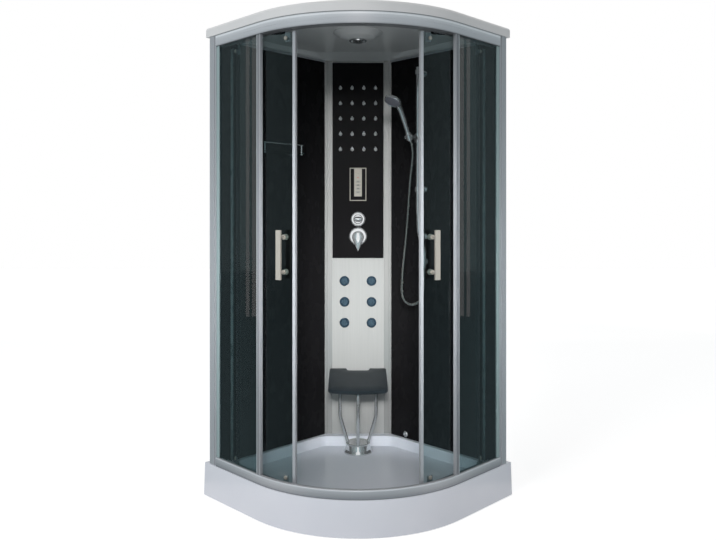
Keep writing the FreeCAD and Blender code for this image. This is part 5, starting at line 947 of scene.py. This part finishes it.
nub_tree, entry, leave = new_tree(
    "nubs_on_points", Radius="Float", Height="Float", Finish="Material")
cone = add(nub_tree, "GeometryNodeMeshCone", {
    "Vertices": 8, "Radius Top": NUB_TIP, "Radius Bottom": entry.outputs["Radius"],
    "Depth": entry.outputs["Height"]})
lying = add(nub_tree, "GeometryNodeTransform", {
    "Geometry": cone.outputs["Mesh"], "Rotation": (math.radians(-90), 0, 0)})
hand_out(nub_tree, entry, leave,
         copies_on(nub_tree, entry.outputs["Geometry"], lying.outputs["Geometry"]))

spots = []
for ring_radius, count in NUB_RINGS:
    for index in range(count):
        x, z = polar(ring_radius, 2 * math.pi * index / count)
        spots.append((x, NUB_LEVEL, z))
spot_mesh = bpy.data.meshes.new("nub_spots")
spot_mesh.from_pydata(spots, [], [])
spot_piece = new_piece("nub_spots", spot_mesh)
apply_tree(spot_piece, nub_tree, Radius=NUB_RADIUS, Height=NUB_HEIGHT, Finish=nub_rubber)
nubs = aimed(plain_mesh(spot_piece, "spray_nubs"), HEAD_PLACE, SPRAY_WAY)

handle_line = spline_object("handle_line", [point[:3] for point in HANDLE_LINE])
for point, (_, _, _, radius) in zip(handle_line.data.splines[0].points, HANDLE_LINE):
    point.radius = radius
handle_line.data.bevel_depth = 1.0
handle_line.data.bevel_resolution = 8
handle_line.data.use_fill_caps = True
handle = plain_mesh(handle_line, "shower_handle")
handle.data.materials.append(chrome)

NUT_MIDDLE = Vector((0.25208, 0.10666, 1.668))
HANDLE_WAY = Vector((-0.321, -0.321, 0.891)).normalized()
nut = aimed(spun("hose_nut", [
    (0, 0.0198), (0.0092, 0.0198), (0.0096, 0.0188), (0.0105, 0.006), (0.0121, -0.0148),
    (0.0123, -0.0156), (0.0118, -0.0164), (0.0123, -0.0172), (0.0125, -0.0196),
    (0.0112, -0.0236), (0.0106, -0.026), (0, -0.026)], 40), NUT_MIDDLE, HANDLE_WAY)
nut.data.materials.append(chrome)
hand_shower = [shell, spray, nubs, handle, nut]
for piece in hand_shower:
    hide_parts("handset")
    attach(piece, "hand_shower")
print("hand shower", sum(len(piece.data.polygons) for piece in hand_shower), "faces")

# %% [markdown]
# ## Glazing gaskets and painted gap shade
#
# Where a flat pane meets its wall post, a soft grey-green gasket holds the glass.
# The front edge strips have a dark line down their middle, painted shade that
# stands for the gap to the door behind. Both are plain bars: an outline in plan
# drawn upwards.

# %% Gaskets
gasket_teal = grained("gasket_vinyl", "8fa3a5", 0.35, grain=(0.002, 0.002, 0.08),
                      rough=(0.28, 0.44))
# Dark painted shade for the gap between each front edge strip and its door.
gap_shade_paint = grained("edge_line_rubber", "3c3e44", 0.6, grain=(0.001, 0.001, 0.03),
                      rough=(0.5, 0.7))
PANE_LOW, PANE_HIGH = 0.190, 2.047


def upright_bar(name, plan, finish):
    """A bar with the given outline in plan, and its mirror image on the left."""
    for side in (-1, 1):
        ring = [(side * x, y) for x, y in plan]
        bar = lofted(f"{name}_{'left' if side < 0 else 'right'}", [
            [(x, y, PANE_LOW) for x, y in ring], [(x, y, PANE_HIGH) for x, y in ring]])
        bar.data.shade_flat()
        bar.data.materials.append(finish)
        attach(bar, "cabin")


upright_bar("glazing_gasket", [
    (0.6383, -0.1683), (0.6403, -0.1701), (0.6385, -0.1726), (0.6262, -0.1849),
    (0.6240, -0.1853), (0.6235, -0.1831)], gasket_teal)
# A thin dark bar down each front edge strip: painted shade for the gap to the door.
upright_bar("edge_line", [
    (0.4225, -0.3935), (0.4205, -0.3955), (0.4203, -0.3963), (0.4213, -0.3965),
    (0.4233, -0.3945), (0.4235, -0.3937)], gap_shade_paint)
print("gaskets from", PANE_LOW, "to", PANE_HIGH)

# %% [markdown]
# ## Floor, backdrop and light
#
# The cabin stands on a pale floor in front of white. The world and the floor turn
# whiter for rays that come from the camera, a mirror surface or glass, so the
# background is white with no extra light on the cabin. A ray that the far side of a
# pane sends back sees a darker room, as the cards in the next cell give the near side.

# %% Floor and world
ROOM_LEVEL = 0.45            # strength of the world as it lights the cabin
BACKDROP_LEVEL = 1.0         # as it is seen
GLASS_MIRROR_LEVEL = 0.4     # as the far side of a pane mirrors it
FLOOR_GLOW = 0.62
FLOOR_TONE, FLOOR_MIRROR_TONE = "e6e6e6", "707070"
FLOOR_REACH = 14.0


def bright_for_view(tree):
    """1 for rays from the camera and for mirror and glass rays, otherwise 0."""
    path = add(tree, "ShaderNodeLightPath")
    seen = calculate(tree, "MAXIMUM", path.outputs["Is Camera Ray"],
                     path.outputs["Is Glossy Ray"])
    return calculate(tree, "MAXIMUM", seen, path.outputs["Is Transmission Ray"])


def mirrored_in_glass(tree):
    """1 for a ray that was mirrored on its way and then left through glass."""
    path = add(tree, "ShaderNodeLightPath")
    mirrored = calculate(tree, "GREATER_THAN", path.outputs["Glossy Depth"], 0.5)
    return calculate(tree, "MULTIPLY", mirrored, path.outputs["Is Transmission Ray"])


world = bpy.data.worlds.new("pale_studio")
bpy.context.scene.world = world
world.use_nodes = True
tree = world.node_tree
tree.nodes.clear()
level = add(tree, "ShaderNodeMapRange", {
    "Value": bright_for_view(tree), "To Min": ROOM_LEVEL, "To Max": BACKDROP_LEVEL})
behind_glass = add(tree, "ShaderNodeMix", {
    "Factor": mirrored_in_glass(tree), "A": level.outputs["Result"], "B": GLASS_MIRROR_LEVEL})
sky = add(tree, "ShaderNodeBackground", {
    "Color": colour("ffffff"), "Strength": behind_glass.outputs["Result"]})
add(tree, "ShaderNodeOutputWorld", {"Surface": sky.outputs["Background"]})

floor_finish, tree, shader = new_finish(
    "pale_floor", FLOOR_TONE, 0.8, Emission_Color=colour("ffffff"))
raise_bump(tree, shader, streaks(tree, 0.02), 0.0001, 0.1)
glow = calculate(tree, "MULTIPLY", bright_for_view(tree), FLOOR_GLOW)
dimmed = mirrored_in_glass(tree)
shown = calculate(tree, "MULTIPLY", glow, calculate(tree, "SUBTRACT", 1.0, dimmed))
tree.links.new(shown, shader.inputs["Emission Strength"])
tone = mix_colours(tree, dimmed, FLOOR_TONE, FLOOR_MIRROR_TONE)
tree.links.new(tone, shader.inputs["Base Color"])
floor_corners = [(x * FLOOR_REACH, y * FLOOR_REACH, 0)
                 for x, y in ((-1, -1), (1, -1), (1, 1), (-1, 1))]
floor_mesh = bpy.data.meshes.new("studio_floor")
floor_mesh.from_pydata(floor_corners, [], [(0, 1, 2, 3)])
floor_mesh.materials.append(floor_finish)
floor = new_piece("studio_floor", floor_mesh)
print("floor", 2 * FLOOR_REACH, "m wide")

# %% [markdown]
# ## Dark cards
#
# Glass and chrome show what stands round them. A photographer sets dark cards round
# such an object, so that the panes stay deep and the metal gets its dark edges. The
# cards here are seen by mirror rays alone. Their faint grey-blue glow is the tone
# that the smoked panes show. The wide gap in front gives the chrome its white, the
# thin slits at the sides make the upright glints on the side panes, and the cards
# on the floor keep the floor's white out of the panes.

# %% Dark cards
CARD_RADIUS, CARD_BASE, CARD_TOP = 6.0, 0.02, 5.5
CARD_STEP = 6                # degrees of the arc to one flat face
FLOOR_CARD_LEVEL = 0.01
CARD_GLOW = 0.95
# The arc's cards as (from, to) degrees from the front, the floor's as (x, x, y, y)
CARD_SPANS = [(-160, -95.1), (-94.7, -94.4), (-93.9, -9), (9, 93.9), (94.4, 94.7), (95.1, 160)]
FLOOR_CARDS = [(-6.5, 6.5, -6.5, -0.75), (-6.5, -0.85, -0.75, 4), (0.85, 6.5, -0.75, 4)]


def card_corner(angle, height):
    """A point of the cards' arc, by its angle from the front and its height."""
    turn = math.radians(angle)
    return (CARD_RADIUS * math.sin(turn), -CARD_RADIUS * math.cos(turn), height)


corners = []
for start, stop in CARD_SPANS:
    parts = max(1, round((stop - start) / CARD_STEP))
    for part in range(parts):
        a = start + (stop - start) * part / parts
        b = start + (stop - start) * (part + 1) / parts
        corners += [card_corner(a, CARD_BASE), card_corner(b, CARD_BASE),
                    card_corner(b, CARD_TOP), card_corner(a, CARD_TOP)]
for x0, x1, y0, y1 in FLOOR_CARDS:
    corners += [(x, y, FLOOR_CARD_LEVEL) for x, y in ((x0, y0), (x1, y0), (x1, y1), (x0, y1))]
faces = [tuple(range(first, first + 4)) for first in range(0, len(corners), 4)]
card_mesh = bpy.data.meshes.new("dark_cards")
card_mesh.from_pydata(corners, [], faces)
card_felt = grained("card_felt", "17181a", 0.95, bump=0.001,
                    Emission_Color=colour("7f9ca3"), Emission_Strength=CARD_GLOW)
card_mesh.materials.append(card_felt)
cards = new_piece("dark_cards", card_mesh)
cards.visible_camera = False
cards.visible_diffuse = False
cards.visible_shadow = False
cards.visible_transmission = False
print("cards", len(faces), "faces")

# %% [markdown]
# ## Lamps
#
# One large soft lamp on the left is the main light, a weak one on the right fills,
# and a narrow one shines in through the doorway onto the column and the tray. They
# are hidden from mirror and glass rays, which would show them as bright squares.

# %% Lamps
def soft_lamp(name, place, target, size, power):
    """A square area lamp that looks at a target."""
    data = bpy.data.lights.new(name, "AREA")
    data.size = size
    data.energy = power
    lamp = new_piece(name, data)
    lamp.location = place
    lamp.rotation_euler = (Vector(target) - Vector(place)).to_track_quat("-Z", "Y").to_euler()
    lamp.visible_glossy = False
    lamp.visible_transmission = False
    return lamp


soft_lamp("main_lamp", place=(-3.0, -3.4, 3.0), target=(0, -0.1, 1.0), size=2.4, power=84)
soft_lamp("fill_lamp", place=(3.6, -2.6, 2.4), target=(0, -0.1, 1.0), size=2.4, power=16)
inside = soft_lamp("inside_lamp", place=(0, -3.8, 2.1), target=(0, 0.3, 0.85), size=0.6,
                   power=7)
inside.data.spread = math.radians(26)
bpy.context.scene.view_settings.view_transform = "Standard"
